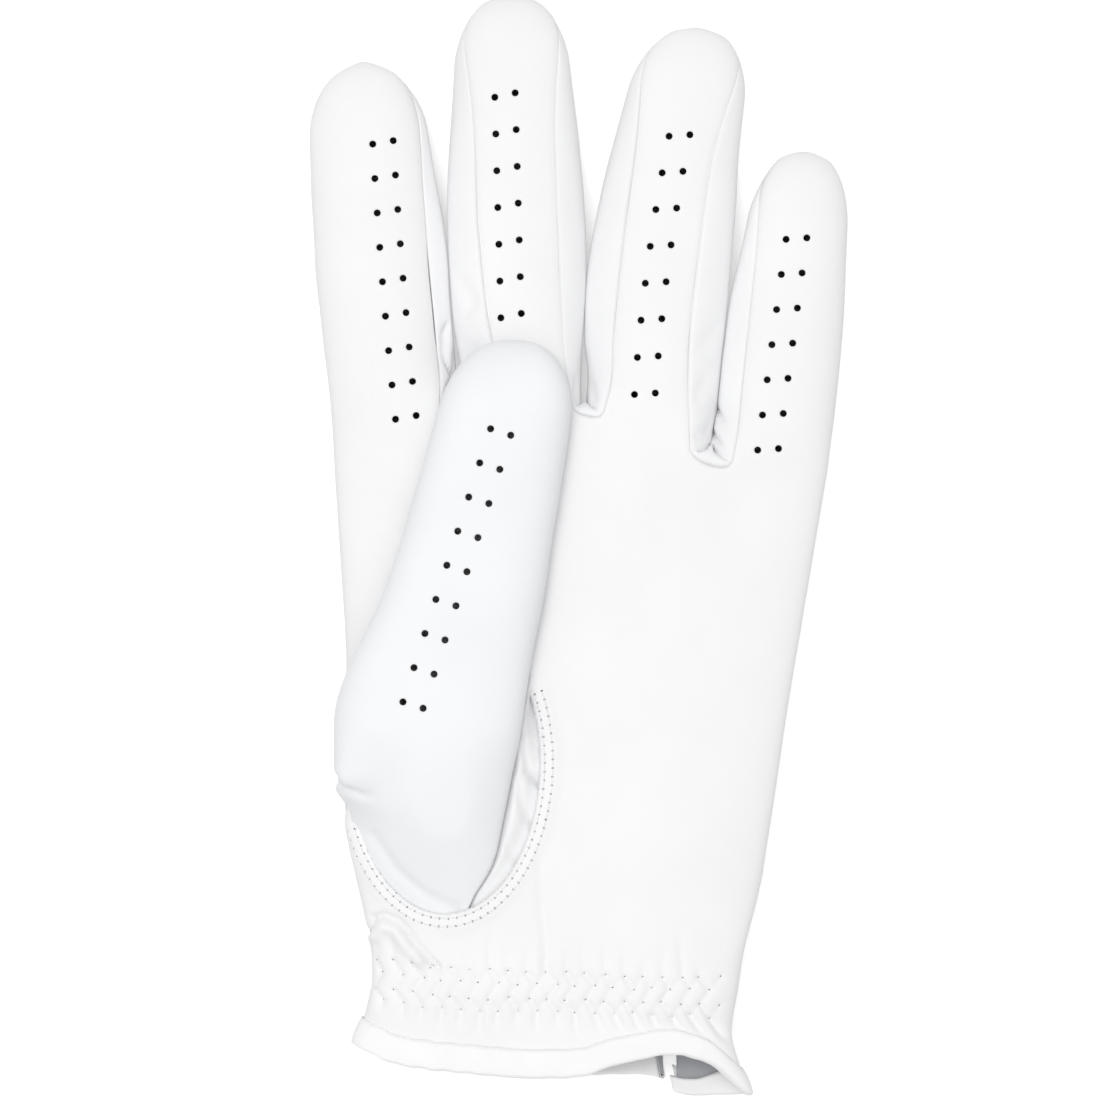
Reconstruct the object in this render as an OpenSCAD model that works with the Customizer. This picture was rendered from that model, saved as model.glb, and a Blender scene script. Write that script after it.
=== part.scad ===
// Golf glove for the left hand, lying on its back with the thumb folded over the palm.
// +Y runs from the cuff to the fingertips, +X from the thumb side to the little finger, +Z out of the palm.

/* [Leather] */
// Thickness of the leather panels
leather = 0.8; // [0.6:0.1:1.2]
// Gap between two neighbouring panels along a seam
seam_gap = 0.2; // [0.1:0.05:0.3]

/* [Palm] */
// Width across the cuff edge
cuff_width = 87; // [80:0.5:94]
// Width at the elastic, the narrowest place
wrist_width = 79; // [72:0.5:84]
// Width across the heel of the hand
heel_width = 92.5; // [88:0.5:102]
// Width across the middle of the palm
palm_width = 99.2; // [94:0.2:106]
// Length from the cuff edge to the fork of the middle and ring fingers
palm_length = 144; // [136:0.5:156]
// Distance of the narrowest place from the cuff edge
wrist_up = 16; // [13:0.5:20]
// Distance of the heel of the hand from the cuff edge
heel_up = 52; // [46:0.5:62]
// Distance of the middle of the palm from the cuff edge
palm_up = 95; // [86:0.5:104]
// Shift of the cuff towards the thumb side
cuff_shift = 6; // [0:0.5:10]
// Shift of the heel of the hand towards the thumb side
heel_shift = 5.7; // [0:0.1:10]
// Shift of the middle of the palm towards the thumb side
palm_shift = 2.4; // [0:0.1:6]
// Depth of the glove at the knuckles
palm_depth = 16; // [13:0.5:20]
// Depth of the glove at the wrist
wrist_depth = 15; // [13:0.5:19]
// Fall of the cuff edge from the thumb side to the little finger side
hem_slant = 11; // [4:0.5:16]
// Rise of the palm's cuff edge above the slanted line, from the thumb side across
palm_wave = [-0.7, -3.4, -3.8, -2.7, -0.9, 2.2, 5.9, 5, -1.1]; // [-6:0.1:8]
// Rise of the back's cuff edge above the slanted line
back_wave = [-0.7, -3.4, -4, -3.2, -3.3, -3.6, -3.6, -2.6, -1.1]; // [-6:0.1:0]

/* [Fingers] */
// Length from knuckle line to tip of the index, middle, ring and little finger
finger_length = [78.3, 89.9, 89.1, 69]; // [50:0.1:110]
// Width at the knuckle line
finger_width = [27.3, 29.3, 28, 24.9]; // [20:0.1:36]
// Extra width half-way along
finger_swell = [1.2, 2.6, 3.2, 1.4]; // [0:0.1:4]
// Width where the tip begins to round
finger_tip_width = [25.4, 25.6, 26, 21.8]; // [16:0.1:32]
// Lean towards the little finger, in degrees
finger_lean = [-4.4, -1.6, 6.9, 5.9]; // [-12:0.1:12]
// Sideways bow half-way along
finger_bow = [-0.6, 0, -2.2, 0]; // [-4:0.1:4]
// Depth at the knuckle line
finger_depth = 14.5; // [11:0.5:18]
// Depth where the tip begins to round
tip_depth = 11.5; // [9:0.5:15]
// Length of the rounded tip
tip_round = 15; // [10:0.5:20]
// Width of the palm-side strip between two gusset seams
strip_width = 18; // [14:0.5:22]
// Half of the open width at a finger fork
fork_half = 1.4; // [1:0.1:2]
// Puff of a side gusset half-way along, on the thumb side of each finger
puff_left = [0, 0, 1.2, 1.5]; // [0:0.1:3]
// Puff of a side gusset on the little finger side of each finger
puff_right = [2.1, 0, 0.2, 0]; // [0:0.1:3]
// Drop of the knuckle line below the palm length: thumb side, three forks, little finger side
knuckle_drop = [5.4, 0.7, 0, 11.1, 13.8]; // [0:0.1:20]

/* [Thumb] */
// Length from the root of the seam to the tip
thumb_length = 124.7; // [110:0.5:135]
// Widest width, over the ball of the thumb
thumb_root_width = 42; // [36:0.5:46]
// Width half-way along
thumb_width = 35; // [30:0.5:38]
// Width where the tip begins to round
thumb_tip_width = 30; // [24:0.5:34]
// Height of the thumb over the palm
thumb_depth = 12; // [9:0.5:15]
// Clearance between the thumb and the palm below it
thumb_clear = 0.5; // [0.3:0.1:1]
// Distance of the thumb hole's lower end from the cuff edge
thumb_hole_up = 33; // [28:1:38]
// Length of the thumb hole in the palm
thumb_hole_length = 66; // [56:1:74]
// Width of the thumb hole
thumb_hole_width = 41.5; // [38:0.5:44]
// Distance of the thumb's folded edge from the middle of the knuckle line
thumb_edge_out = 54; // [50:0.5:56]
// Distance of the thumb's inner edge from its folded edge, from the root to the ball
thumb_inner = [29, 34.8, 37.5, 39.1, 40.9]; // [24:0.1:46]
// Distance of the thumb's middle line from its folded edge, from the ball to the tip
thumb_middle = [22, 28.6, 33, 37.4, 39.4]; // [18:0.1:44]

/* [Perforations] */
// Diameter of one hole
hole_d = 1.5; // [1:0.1:2]
// Distance between the two holes of a row
hole_pair = 4.6; // [3:0.1:6]
// Rows of holes on the index, middle, ring and little finger
hole_rows = [9, 9, 8, 7]; // [0:1:9]
// Distance from the tip to the first row
hole_first = [17.1, 21.75, 23.7, 18.65]; // [14:0.1:30]
// Distance between rows
hole_pitch = [7.6, 8.1, 8.2, 7.8]; // [6:0.1:9]
// Shift of the rows towards the little finger side
hole_shift = [3.7, -1.7, 0, -0.45]; // [-4:0.05:4]
// Further shift from each row to the next
hole_drift = [0, 0, -0.25, -0.25]; // [-0.5:0.01:0.5]
// Turn of each pair out of the level, in degrees
hole_turn = [10, 12, 4, 4]; // [-15:1:15]
// Rows of holes on the thumb
thumb_hole_rows = 9; // [0:1:9]
// Distance between rows on the thumb
thumb_hole_pitch = 7.8; // [6:0.1:9]
// Distance from the thumb's tip to its first row
thumb_hole_tip = 20.4; // [16:0.1:26]
// Shift of the thumb's first row from the middle of its tip
thumb_hole_shift = 2.6; // [0:0.1:5]
// Lean of the thumb's rows, in degrees
thumb_hole_lean = 17.8; // [10:0.1:25]

/* [Cuff] */
// Width of the folded binding above the cuff edge
binding_width = 5.4; // [3:0.1:6.5]
// Thickness of the binding tape
binding_tape = 0.6; // [0.4:0.1:1]
// Width of one elastic
elastic_width = 5; // [3:0.5:7]
// Thickness of the elastic
elastic_thick = 0.9; // [0.6:0.1:1.4]
// Distance of the lower elastic's middle from the middle of the cuff edge
elastic_up = 13; // [10:0.5:16]
// Distance between the two elastics
elastic_pitch = 6.5; // [5.5:0.5:11]

/* [Closure] */
// Distance of the vent from the middle of the knuckle line
vent_x = 20; // [14:0.5:24]
// Length of the vent slit in the back
vent_length = 46; // [36:1:56]
// Open width of the vent slit
vent_width = 3; // [2:0.5:5]
// Width of the facing sewn round the vent
facing_width = 5; // [4:0.5:7]
// Length of the closure tab from its hinge line to its rounded end
tab_length = 54; // [44:1:58]
// Width of the closure tab
tab_width = 28; // [22:1:32]
// Distance of the tab's lower edge from the cuff edge
tab_up = 13; // [9:1:18]
// Thickness of the tab's lining
lining_thick = 0.5; // [0.3:0.1:0.8]
// Thickness of the hook patch
hook_thick = 0.8; // [0.6:0.1:1.2]
// Thickness of the loop patch
loop_thick = 0.8; // [0.6:0.1:1.2]
// Length of the hook patch
hook_length = 34; // [24:1:38]
// Length of the loop patch
loop_length = 42; // [34:1:44]
// Clearance between the hook and loop patches, and round each patch
patch_clear = 0.2; // [0.1:0.05:0.3]

/* [Stitches] */
// Length of one stitch
stitch = 1.6; // [1.2:0.1:2.4]
// Distance from one stitch to the next
stitch_pitch = 2.4; // [2:0.1:3.2]
// Thickness of the thread
thread = 0.4; // [0.3:0.05:0.6]

/* [Hidden] */

white = [0.95, 0.95, 0.96];
trim_white = [0.98, 0.98, 0.98];
thread_white = [0.86, 0.87, 0.9];
grey = [0.55, 0.57, 0.6];

INDEX = 0;
LITTLE = 3;
PALM = 1;
BACK = -1;

// Curves
function mix(a, b, t) = a + (b - a) * t;
function smooth(t) = let (c = min(1, max(0, t))) c * c * (3 - 2 * c);
function arch(s, n) = pow(max(0, 1 - pow(min(1, abs(s)), n)), 1 / n);
function total(v, n) = n <= 0 ? 0 : v[n - 1] + total(v, n - 1);
function slope(p, i) = let (a = max(i - 1, 0), b = min(i + 1, len(p) - 1))
    (p[b][1] - p[a][1]) / (p[b][0] - p[a][0]);
// Smooth value at x through the stations p, each [place, value]
function curve(p, x) = let (
    i = max([for (k = [0:len(p) - 2]) if (k == 0 || x >= p[k][0]) k]),
    h = p[i + 1][0] - p[i][0],
    t = (x - p[i][0]) / h,
    rise = p[i + 1][1] - p[i][1],
    m0 = slope(p, i) * h,
    m1 = slope(p, i + 1) * h
) p[i][1] + t * (m0 + t * (3 * rise - 2 * m0 - m1 + t * (m0 + m1 - 2 * rise)));

// Hand sections: a squarer arch over the palm, a rounder one over each finger, a flat back
palm_square = 3.2;
finger_square = 2.3;
back_square = 4.5;
finger_back_square = 3;
lining_z = leather;
hook_z = lining_z + lining_thick;
hook_top = hook_z + hook_thick;
loop_z = hook_top + patch_clear + 0.1;
closure_stack = loop_z + loop_thick + patch_clear;
knuckle_width = total(finger_width, 4);

// Palm: t runs from 0 at the cuff to 1 at the knuckle line, u from 0 on the thumb side to 1
function palm_half(t) = curve([[0, cuff_width / 2], [wrist_up / palm_length, wrist_width / 2],
    [heel_up / palm_length, heel_width / 2], [palm_up / palm_length, palm_width / 2],
    [1, knuckle_width / 2]], t);
function palm_mid(t) = -curve([[0, cuff_shift], [heel_up / palm_length, heel_shift],
    [palm_up / palm_length, palm_shift], [1, 0]], t);
// The wrist is raised by the closure under it and comes down to the floor past the closure
raised_to = 0.34;
down_by = 0.64;
full_depth_at = 0.8;
function palm_floor(t) = closure_stack * (1 - smooth((t - raised_to) / (down_by - raised_to)));
function palm_section(t) = mix(wrist_depth, palm_depth, smooth(t / full_depth_at));
function palm_top(t) = palm_floor(t) + palm_section(t);
wave_at = [0, 0.1, 0.25, 0.45, 0.58, 0.66, 0.79, 0.9, 1];
function hem_y(u, side) = let (wave = side == PALM ? palm_wave : back_wave)
    hem_slant * (0.5 - u) + curve([for (k = [0:len(wave_at) - 1]) [wave_at[k], wave[k]]], u);
knuckle_at = [for (k = [0:4]) total(finger_width, k) / knuckle_width];
function knuckle_y(u) = palm_length - curve([for (k = [0:4]) [knuckle_at[k], knuckle_drop[k]]], u);
// Height of an open half section above or below its middle, with half the seam gap left at its rim
function half_section(depth, inset, side, s, square) =
    side * (seam_gap / 2 + (depth / 2 - inset - seam_gap / 2) * arch(s, square));
function palm_point(u, t, inset, side) = let (s = 2 * u - 1)
    [palm_mid(t) + s * (palm_half(t) - inset),
     mix(hem_y(u, side), knuckle_y(u), t),
     palm_floor(t) + palm_section(t) / 2
        + half_section(palm_section(t), inset, side, s, side == PALM ? palm_square : back_square)];
// Fraction of the palm length at a distance above the cuff edge
function up(d) = d / palm_length;

// Fingers: v runs from 0 at the knuckle line to 1 at the tip, s from -1 to 1 across
tip_blunt = 0.42;
tip_flat = 0.12;
tip_square = 2.2;
swell_at = 0.45;
base_blend = 0.22;
// The index and little finger give up width for a fork on one side only
function fork_sides(f) = f == INDEX || f == LITTLE ? 1 : 2;
function base_half(f) = (finger_width[f] - fork_sides(f) * fork_half) / 2;
function outward(f) = f == INDEX ? -1 : f == LITTLE ? 1 : 0;
function base_u(f) = (knuckle_at[f] + knuckle_at[f + 1]) / 2 + outward(f) * fork_half / 2 / knuckle_width;
function base_point(f) = [palm_mid(1) + (2 * base_u(f) - 1) * palm_half(1), knuckle_y(base_u(f))];
function way(f) = [sin(finger_lean[f]), cos(finger_lean[f])];
function across(f) = [cos(finger_lean[f]), -sin(finger_lean[f])];
function finger_line(f, v) = base_point(f) + way(f) * finger_length[f] * v
    + across(f) * finger_bow[f] * 4 * v * (1 - v);
function tip_start(f) = 1 - tip_round / finger_length[f];
// Share of the tip's rounding done at v
function tip_share(f, v) = max(0, (v - tip_start(f)) / (1 - tip_start(f)));
function finger_half(f, v) = let (r = tip_share(f, v)) curve([
        [0, base_half(f)], [swell_at, (finger_width[f] + finger_swell[f]) / 2 - fork_half / 2],
        [tip_start(f), finger_tip_width[f] / 2], [1, finger_tip_width[f] / 2 - 1]], v)
    * mix(tip_blunt, 1, arch(r, tip_square));
function finger_section(f, v) = mix(finger_depth, tip_depth, v)
    * mix(tip_flat, 1, arch(tip_share(f, v), tip_square));
function finger_middle(f, v) = mix(finger_depth, tip_depth, v) / 2;
// The seam of a gusset leaves the fork, runs straight and meets the finger's edge near the tip
seam_out = 0.75;
seam_straight = 0.3;
fork_shares = 1.5;
function seam_share(f, v) = let (
    straight = strip_width / 2 / finger_half(f, v),
    fork = 1 - fork_shares * fork_half / finger_half(f, 0)
) mix(mix(fork, straight, smooth(v / seam_straight)), 1, smooth(tip_share(f, v) / seam_out));
function finger_point(f, s, v, inset, side) = let (
    w = v * (1 - inset / finger_length[f]),
    c = finger_line(f, w),
    q = c + across(f) * s * (finger_half(f, w) - inset),
    depth = finger_section(f, w),
    z = finger_middle(f, w) + half_section(depth, min(inset, depth / 2 - seam_gap), side, s,
        side == PALM ? finger_square : finger_back_square),
    u0 = base_u(f) + s * base_half(f) / knuckle_width,
    p0 = palm_point(u0, 1, inset, side)
) mix(p0, [q.x, q.y, z], smooth(v / base_blend));

// A closed sheet between two grids of points; keep(i, j) says which cells of the grid are leather
module sheet(outer, inner, keep) {
    rows = len(outer);
    cols = len(outer[0]);
    points = concat([for (r = outer) each r], [for (r = inner) each r]);
    function at(i, j, under) = j * cols + i + under * rows * cols;
    function there(i, j) = i >= 0 && j >= 0 && i < cols - 1 && j < rows - 1 && keep(i, j);
    function quad(a, b, c, d) = [[a, b, c], [a, c, d]];
    function wall(i0, j0, i1, j1) = quad(at(i0, j0, 0), at(i0, j0, 1), at(i1, j1, 1), at(i1, j1, 0));
    faces = [for (j = [0:rows - 2]) for (i = [0:cols - 2]) if (there(i, j)) each concat(
        quad(at(i, j, 0), at(i, j + 1, 0), at(i + 1, j + 1, 0), at(i + 1, j, 0)),
        quad(at(i, j, 1), at(i + 1, j, 1), at(i + 1, j + 1, 1), at(i, j + 1, 1)),
        there(i, j - 1) ? [] : wall(i + 1, j, i, j),
        there(i, j + 1) ? [] : wall(i, j + 1, i + 1, j + 1),
        there(i - 1, j) ? [] : wall(i, j, i, j + 1),
        there(i + 1, j) ? [] : wall(i + 1, j + 1, i + 1, j))];
    polyhedron(points, faces, convexity = 8);
}

// Columns across the hand: [finger, kind, value]
EDGE = 0;
STRIP = 1;
FORK = 2;
edge_shares = [1, 0.985, 0.92];
edge_end = 0.78;
strip_cells = 6;
hand_columns = concat(
    [for (s = edge_shares) [INDEX, EDGE, -s]],
    [for (f = [INDEX:LITTLE]) each concat(
        [for (k = [0:strip_cells]) [f, STRIP, k / strip_cells]],
        f < LITTLE ? [[f, FORK, 0]] : [])],
    [for (k = [len(edge_shares) - 1:-1:0]) [LITTLE, EDGE, edge_shares[k]]]);
function left_share(f, v) = f == INDEX ? -edge_end : -seam_share(f, v);
function right_share(f, v) = f == LITTLE ? edge_end : seam_share(f, v);
function column_share(c, v) = c[1] == EDGE ? c[2] : mix(left_share(c[0], v), right_share(c[0], v), c[2]);
fork_dip = 2;
dip_from = 0.9;
function column_u(c) = c[1] == FORK ? knuckle_at[c[0] + 1]
    : base_u(c[0]) + column_share(c, 0) * base_half(c[0]) / knuckle_width;
palm_rows = [0, 0.04, 0.08, 0.12, 0.17, 0.23, 0.3, 0.4, 0.52, 0.65, 0.78, 0.9, 1];
straight_rows = [0.08, 0.17, 0.27, 0.4, 0.55, 0.7, 0.85, 1];
tip_rows = [0.3, 0.55, 0.75, 0.9, 1];
finger_rows = len(straight_rows) + len(tip_rows);
// Place along finger f of the row j of the finger
function row_v(f, j) = j < len(straight_rows) ? straight_rows[j] * tip_start(f)
    : mix(tip_start(f), 1, tip_rows[j - len(straight_rows)]);
function fork_drop(c, t) = c[1] == FORK
    ? [0, -fork_dip * smooth((t - dip_from) / (1 - dip_from)), 0] : [0, 0, 0];
function hand_grid(inset, side) = concat(
    [for (t = palm_rows) [for (c = hand_columns)
        palm_point(column_u(c), t, inset, side) + fork_drop(c, t)]],
    [for (j = [0:finger_rows - 1]) [for (c = hand_columns)
        finger_point(c[0], column_share(c, row_v(c[0], j)), row_v(c[0], j), inset, side)]]);
function hand_cell(i, j) = j < len(palm_rows) - 1
    || (hand_columns[i][1] != FORK && hand_columns[i + 1][1] != FORK);

module hand_sheet(side) {
    outer = hand_grid(0, side);
    inner = hand_grid(leather, side);
    if (side == PALM)
        sheet(outer, inner, function (i, j) hand_cell(i, j));
    else
        sheet(inner, outer, function (i, j) hand_cell(i, j));
}

// Thumb: q runs from 0 at the root of the seam to 1 at the tip; its root follows the rim of the thumb hole
thumb_edge = -thumb_edge_out;
thumb_hole_in = 3.75;
thumb_hole_mid = [thumb_edge + thumb_hole_in + thumb_hole_width / 2, thumb_hole_up + thumb_hole_length / 2];
thumb_tip_round = 0.14;
thumb_tip_blunt = 0.25;
function rim_reach(y, grow) = (thumb_hole_width / 2 + grow)
    * sqrt(max(0, 1 - pow((y - thumb_hole_mid.y) / (thumb_hole_length / 2 + grow), 2)));
function hole_rim(angle, grow) = [thumb_hole_mid.x + (thumb_hole_width / 2 + grow) * cos(angle),
    thumb_hole_mid.y + (thumb_hole_length / 2 + grow) * sin(angle)];
thumb_start = thumb_hole_mid.y - thumb_hole_length / 2 + 1;
function thumb_y(q) = thumb_start + thumb_length * q;
function tip_factor(q) = arch(max(0, (q - 1 + thumb_tip_round) / thumb_tip_round), 2.1);
// Middle line and width from the ball of the thumb up to the tip
middle_at = [0.38, 0.55, 0.7, 0.87, 1];
function ball_mid(q) = thumb_edge + curve(concat(
    [[0, thumb_root_width / 2 - 1], [0.25, thumb_root_width / 2]],
    [for (k = [0:4]) [middle_at[k], thumb_middle[k]]]), q);
ball_widest = [0.28, 0.36];
ball_end = 0.58;
function ball_half(q) = curve([[0, thumb_root_width / 2 - 2],
        [ball_widest[0], thumb_root_width / 2], [ball_widest[1], thumb_root_width / 2],
        [ball_end, thumb_width / 2],
        [1 - thumb_tip_round, thumb_tip_width / 2], [1, thumb_tip_width / 2 - 1]], q)
    * mix(thumb_tip_blunt, 1, tip_factor(q));
root_share = 0.26;
rim_spread = 1.2;
// Near the root the left edge keeps inside the hole's rim
function thumb_left(q) = let (y = thumb_y(q), own = ball_mid(q) - ball_half(q))
    q >= root_share ? own
        : max(own, thumb_hole_mid.x - rim_reach(y, 0) * mix(1, rim_spread, smooth(q / root_share)));
inner_at = [0, 0.077, 0.163, 0.225, 0.293];
inner_to = 0.42;
function ball_right(q) = ball_mid(q) + ball_half(q);
function thumb_right(q) = q >= inner_to ? ball_right(q)
    : curve(concat([for (k = [0:4]) [inner_at[k], thumb_edge + thumb_inner[k]]],
        [[inner_to, ball_right(inner_to)]]), q);
function thumb_floor(q) = palm_top(thumb_y(q) / palm_length) + thumb_clear;
root_flat = 0.25;
thumb_tip_flat = 0.3;
thumb_full_at = 0.38;
function thumb_section(q) = thumb_depth * mix(root_flat, 1, smooth(q / thumb_full_at))
    * mix(thumb_tip_flat, 1, tip_factor(q));
thumb_seam_share = 0.35;
// Below the ball the left edge folds down beside the palm's edge
thumb_back_from = 0.43;
fold_depth = 9;
fold_from = 0.18;
fold_full = 0.24;
fold_until = 0.3;
function fold_down(q) = fold_depth * smooth((q - fold_from) / (fold_full - fold_from))
    * (1 - smooth((q - fold_until) / (thumb_back_from - fold_until)));
function tip_share_of_thumb(q) = smooth((q - 1 + thumb_tip_round) / thumb_tip_round);
function thumb_point(s, q, inset, side) = let (
    h = thumb_section(q),
    rim = thumb_floor(q) + thumb_seam_share * h - (side == PALM && s == -1 ? fold_down(q) : 0),
    rise = (side == PALM ? 1 - thumb_seam_share : thumb_seam_share) * h - inset - seam_gap / 2,
    mid = (thumb_left(q) + thumb_right(q)) / 2,
    half = (thumb_right(q) - thumb_left(q)) / 2
) [mid + s * (half - inset), thumb_y(q) - inset * tip_share_of_thumb(q),
   rim + side * (seam_gap / 2 + rise * arch(s, side == PALM ? finger_square : back_square))];
thumb_columns = [-1, -0.99, -0.93, -0.8, -0.55, -0.2, 0.2, 0.55, 0.8, 0.95, 1];
thumb_rows = [0, 0.05, 0.1, 0.16, 0.24, 0.33, 0.43, 0.54, 0.66, 0.78, 0.86, 0.91, 0.95, 0.98, 1];
function thumb_grid(inset, side, from) = [for (q = thumb_rows) if (q >= from)
    [for (s = thumb_columns) thumb_point(s, q, inset, side)]];

// Side walls of the fingers: a gusset runs down one finger, through the fork and up the next
fork_bulge = 3;
wall_steps = 6;
wall_tip_rows = [0.3, 0.55, 0.7];
wall_rows = concat([for (v = straight_rows) [0, v]], [for (r = wall_tip_rows) [1, r]]);
function wall_v(f, row) = row[0] == 0 ? row[1] * tip_start(f) : mix(tip_start(f), 1, row[1]);
// Place across the finger at phi, from 0 at the palm seam over 0.5 at the edge to 1 at the back seam
function wall_share(f, v, phi) = let (
    square = phi <= 0.5 ? finger_square : finger_back_square,
    rim = min(0.995, seam_share(f, v) + seam_gap / finger_half(f, v)),
    from = asin(pow(rim, square / 2))
) pow(sin(mix(from, 90, 1 - abs(2 * phi - 1))), 2 / square);
// Between its seams a gusset puffs out past the finger's edge
function puff(f, hand, v) = (hand > 0 ? puff_right[f] : puff_left[f])
    * 4 * v * (1 - v) * (1 - tip_share(f, v));
function wall_point(f, hand, v, phi, inset) = let (out = across(f) * hand * puff(f, hand, v) * sin(180 * phi))
    finger_point(f, hand * wall_share(f, v, phi), v, inset, phi <= 0.5 ? PALM : BACK) + [out.x, out.y, 0];
function fork_point(k, phi, inset) = let (
    a = palm_point(knuckle_at[k + 1], 1, inset, PALM),
    b = palm_point(knuckle_at[k + 1], 1, inset, BACK)
) [a.x, a.y - fork_dip + seam_gap + (fork_bulge - inset) * sin(180 * phi),
   mix(b.z, a.z, (1 + cos(180 * phi)) / 2)];
function wall_phis() = [for (i = [wall_steps:-1:0]) i / wall_steps];
function gusset_grid(k, inset) = concat(
    [for (r = [len(wall_rows) - 1:-1:0]) [for (phi = wall_phis())
        wall_point(k, 1, wall_v(k, wall_rows[r]), phi, inset)]],
    [[for (phi = wall_phis()) fork_point(k, phi, inset)]],
    [for (row = wall_rows) [for (phi = wall_phis())
        wall_point(k + 1, -1, wall_v(k + 1, row), phi, inset)]]);

module fourchette(k) {
    color(white)
        placed()
            sheet(gusset_grid(k, 0), gusset_grid(k, leather), function (i, j) true);
}

// Places on the palm and back surfaces
function t_of(y, u, side) = (y - hem_y(u, side)) / (knuckle_y(u) - hem_y(u, side));
function u_of(x, t) = 0.5 + (x - palm_mid(t)) / palm_half(t) / 2;
// Point of the palm's surface over the plan place [x, y], lifted by lift
function over(x, y, lift, side, u = 0.5, tries = 6) = let (t = t_of(y, u, side))
    tries == 0 ? palm_point(u, t, -lift, side) : over(x, y, lift, side, u_of(x, t), tries - 1);
function unit(v) = v / norm(v);
// Outward direction of the palm over the plan place p
function palm_out(p) = unit(cross(over(p.x + 1, p.y, 0, PALM) - over(p.x - 1, p.y, 0, PALM),
    over(p.x, p.y + 1, 0, PALM) - over(p.x, p.y - 1, 0, PALM)));

// A short straight thread from a to b, resting on a surface whose outward direction is n
module thread_piece(a, b, n) {
    along = unit(b - a);
    aside = unit(cross(n, along));
    outward = cross(along, aside);
    mid = (a + b) / 2;
    multmatrix([[along.x, aside.x, outward.x, mid.x], [along.y, aside.y, outward.y, mid.y],
        [along.z, aside.z, outward.z, mid.z]])
        translate([0, 0, thread / 2])
            cube([norm(b - a), thread, thread], center = true);
}

// Room in the fold of the binding, and how far the fold reaches past the leather's edge
fold_room = 0.15;
fold_drop = 0.9;

// The whole glove is drawn about the middle of its plan
plan_vs = [for (k = [0:20]) k / 20];
plan_left = min(min([for (v = plan_vs) finger_point(INDEX, -1, v, 0, PALM).x]), thumb_edge);
plan_right = max([for (v = plan_vs) finger_point(LITTLE, 1, v, 0, PALM).x]);
plan_top = max([for (f = [INDEX:LITTLE]) finger_line(f, 1).y]);
plan_bottom = min([for (v = plan_vs) palm_point(v, up(-fold_drop), 0, BACK).y]);
module placed() {
    translate([-(plan_left + plan_right) / 2, -(plan_top + plan_bottom) / 2, 0])
        children();
}

// Node modules
module perforations(f) {
    for (k = [0:hole_rows[f] - 1])
        for (x = [-0.5, 0.5]) {
            from_tip = hole_first[f] + k * hole_pitch[f];
            c = finger_line(f, 1 - from_tip / finger_length[f])
                + across(f) * (hole_shift[f] + k * hole_drift[f])
                + [cos(hole_turn[f]), sin(hole_turn[f])] * x * hole_pair;
            translate([c.x, c.y, finger_depth / 2])
                cylinder(d = hole_d, h = palm_depth + closure_stack);
        }
}

module thumb_hole() {
    translate([thumb_hole_mid.x, thumb_hole_mid.y, palm_depth / 2])
        linear_extrude(palm_depth + closure_stack)
            scale([thumb_hole_width / thumb_hole_length, 1])
                circle(d = thumb_hole_length, $fn = 48);
}

module palm_panel() {
    color(white)
        placed()
            difference() {
                hand_sheet(PALM);
                thumb_hole();
                for (f = [INDEX:LITTLE])
                    perforations(f);
            }
}

vent_top = vent_length + hem_y(u_of(vent_x, 0), BACK);
vent_low = vent_top - 2 * vent_length;
module back_panel() {
    color(white)
        placed()
            difference() {
                hand_sheet(BACK);
                translate([vent_x - vent_width / 2, vent_low, 0])
                    cube([vent_width, vent_top - vent_low, palm_depth / 2]);
            }
}

module fourchette_index_middle() {
    fourchette(0);
}

module fourchette_middle_ring() {
    fourchette(1);
}

module fourchette_ring_little() {
    fourchette(2);
}

thumb_way = [-sin(thumb_hole_lean), -cos(thumb_hole_lean)];
thumb_across = [cos(thumb_hole_lean), -sin(thumb_hole_lean)];
thumb_hole_first = [ball_mid(1) - thumb_hole_shift, thumb_y(1) - thumb_hole_tip];
module thumb_front() {
    color(white)
        placed()
            difference() {
                sheet(thumb_grid(0, PALM, 0), thumb_grid(leather, PALM, 0), function (i, j) true);
                for (k = [0:thumb_hole_rows - 1])
                    for (x = [-0.5, 0.5]) {
                        c = thumb_hole_first + thumb_way * thumb_hole_pitch * k
                            + thumb_across * x * hole_pair;
                        translate([c.x, c.y, palm_depth + thumb_clear + thumb_depth * thumb_seam_share])
                            cylinder(d = hole_d, h = thumb_depth + closure_stack);
                    }
            }
}

module thumb_back() {
    color(white)
        placed()
            sheet(thumb_grid(leather, BACK, thumb_back_from), thumb_grid(0, BACK, thumb_back_from),
                function (i, j) true);
}

// Crescent between the thumb's inner edge and the thumb hole, tucked under the thumb
gusset_tuck = 3;
gusset_from = -0.9;
gusset_to = 0.42;
gusset_steps = 10;
gusset_rows = [for (k = [0:gusset_steps])
    thumb_hole_mid.y + thumb_hole_length / 2 * mix(gusset_from, gusset_to, k / gusset_steps)];
function crescent(inset) = [for (y = gusset_rows) let (
        q = (y - thumb_start) / thumb_length,
        right = thumb_hole_mid.x + rim_reach(y, -seam_gap),
        left = min(thumb_right(q) - gusset_tuck, right - gusset_tuck)
    ) [for (k = [0:3]) over(mix(left, right, k / 3), y, -inset, PALM)]];
module thumb_gusset() {
    color(white)
        placed()
            sheet(crescent(0), crescent(leather), function (i, j) true);
}

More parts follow.
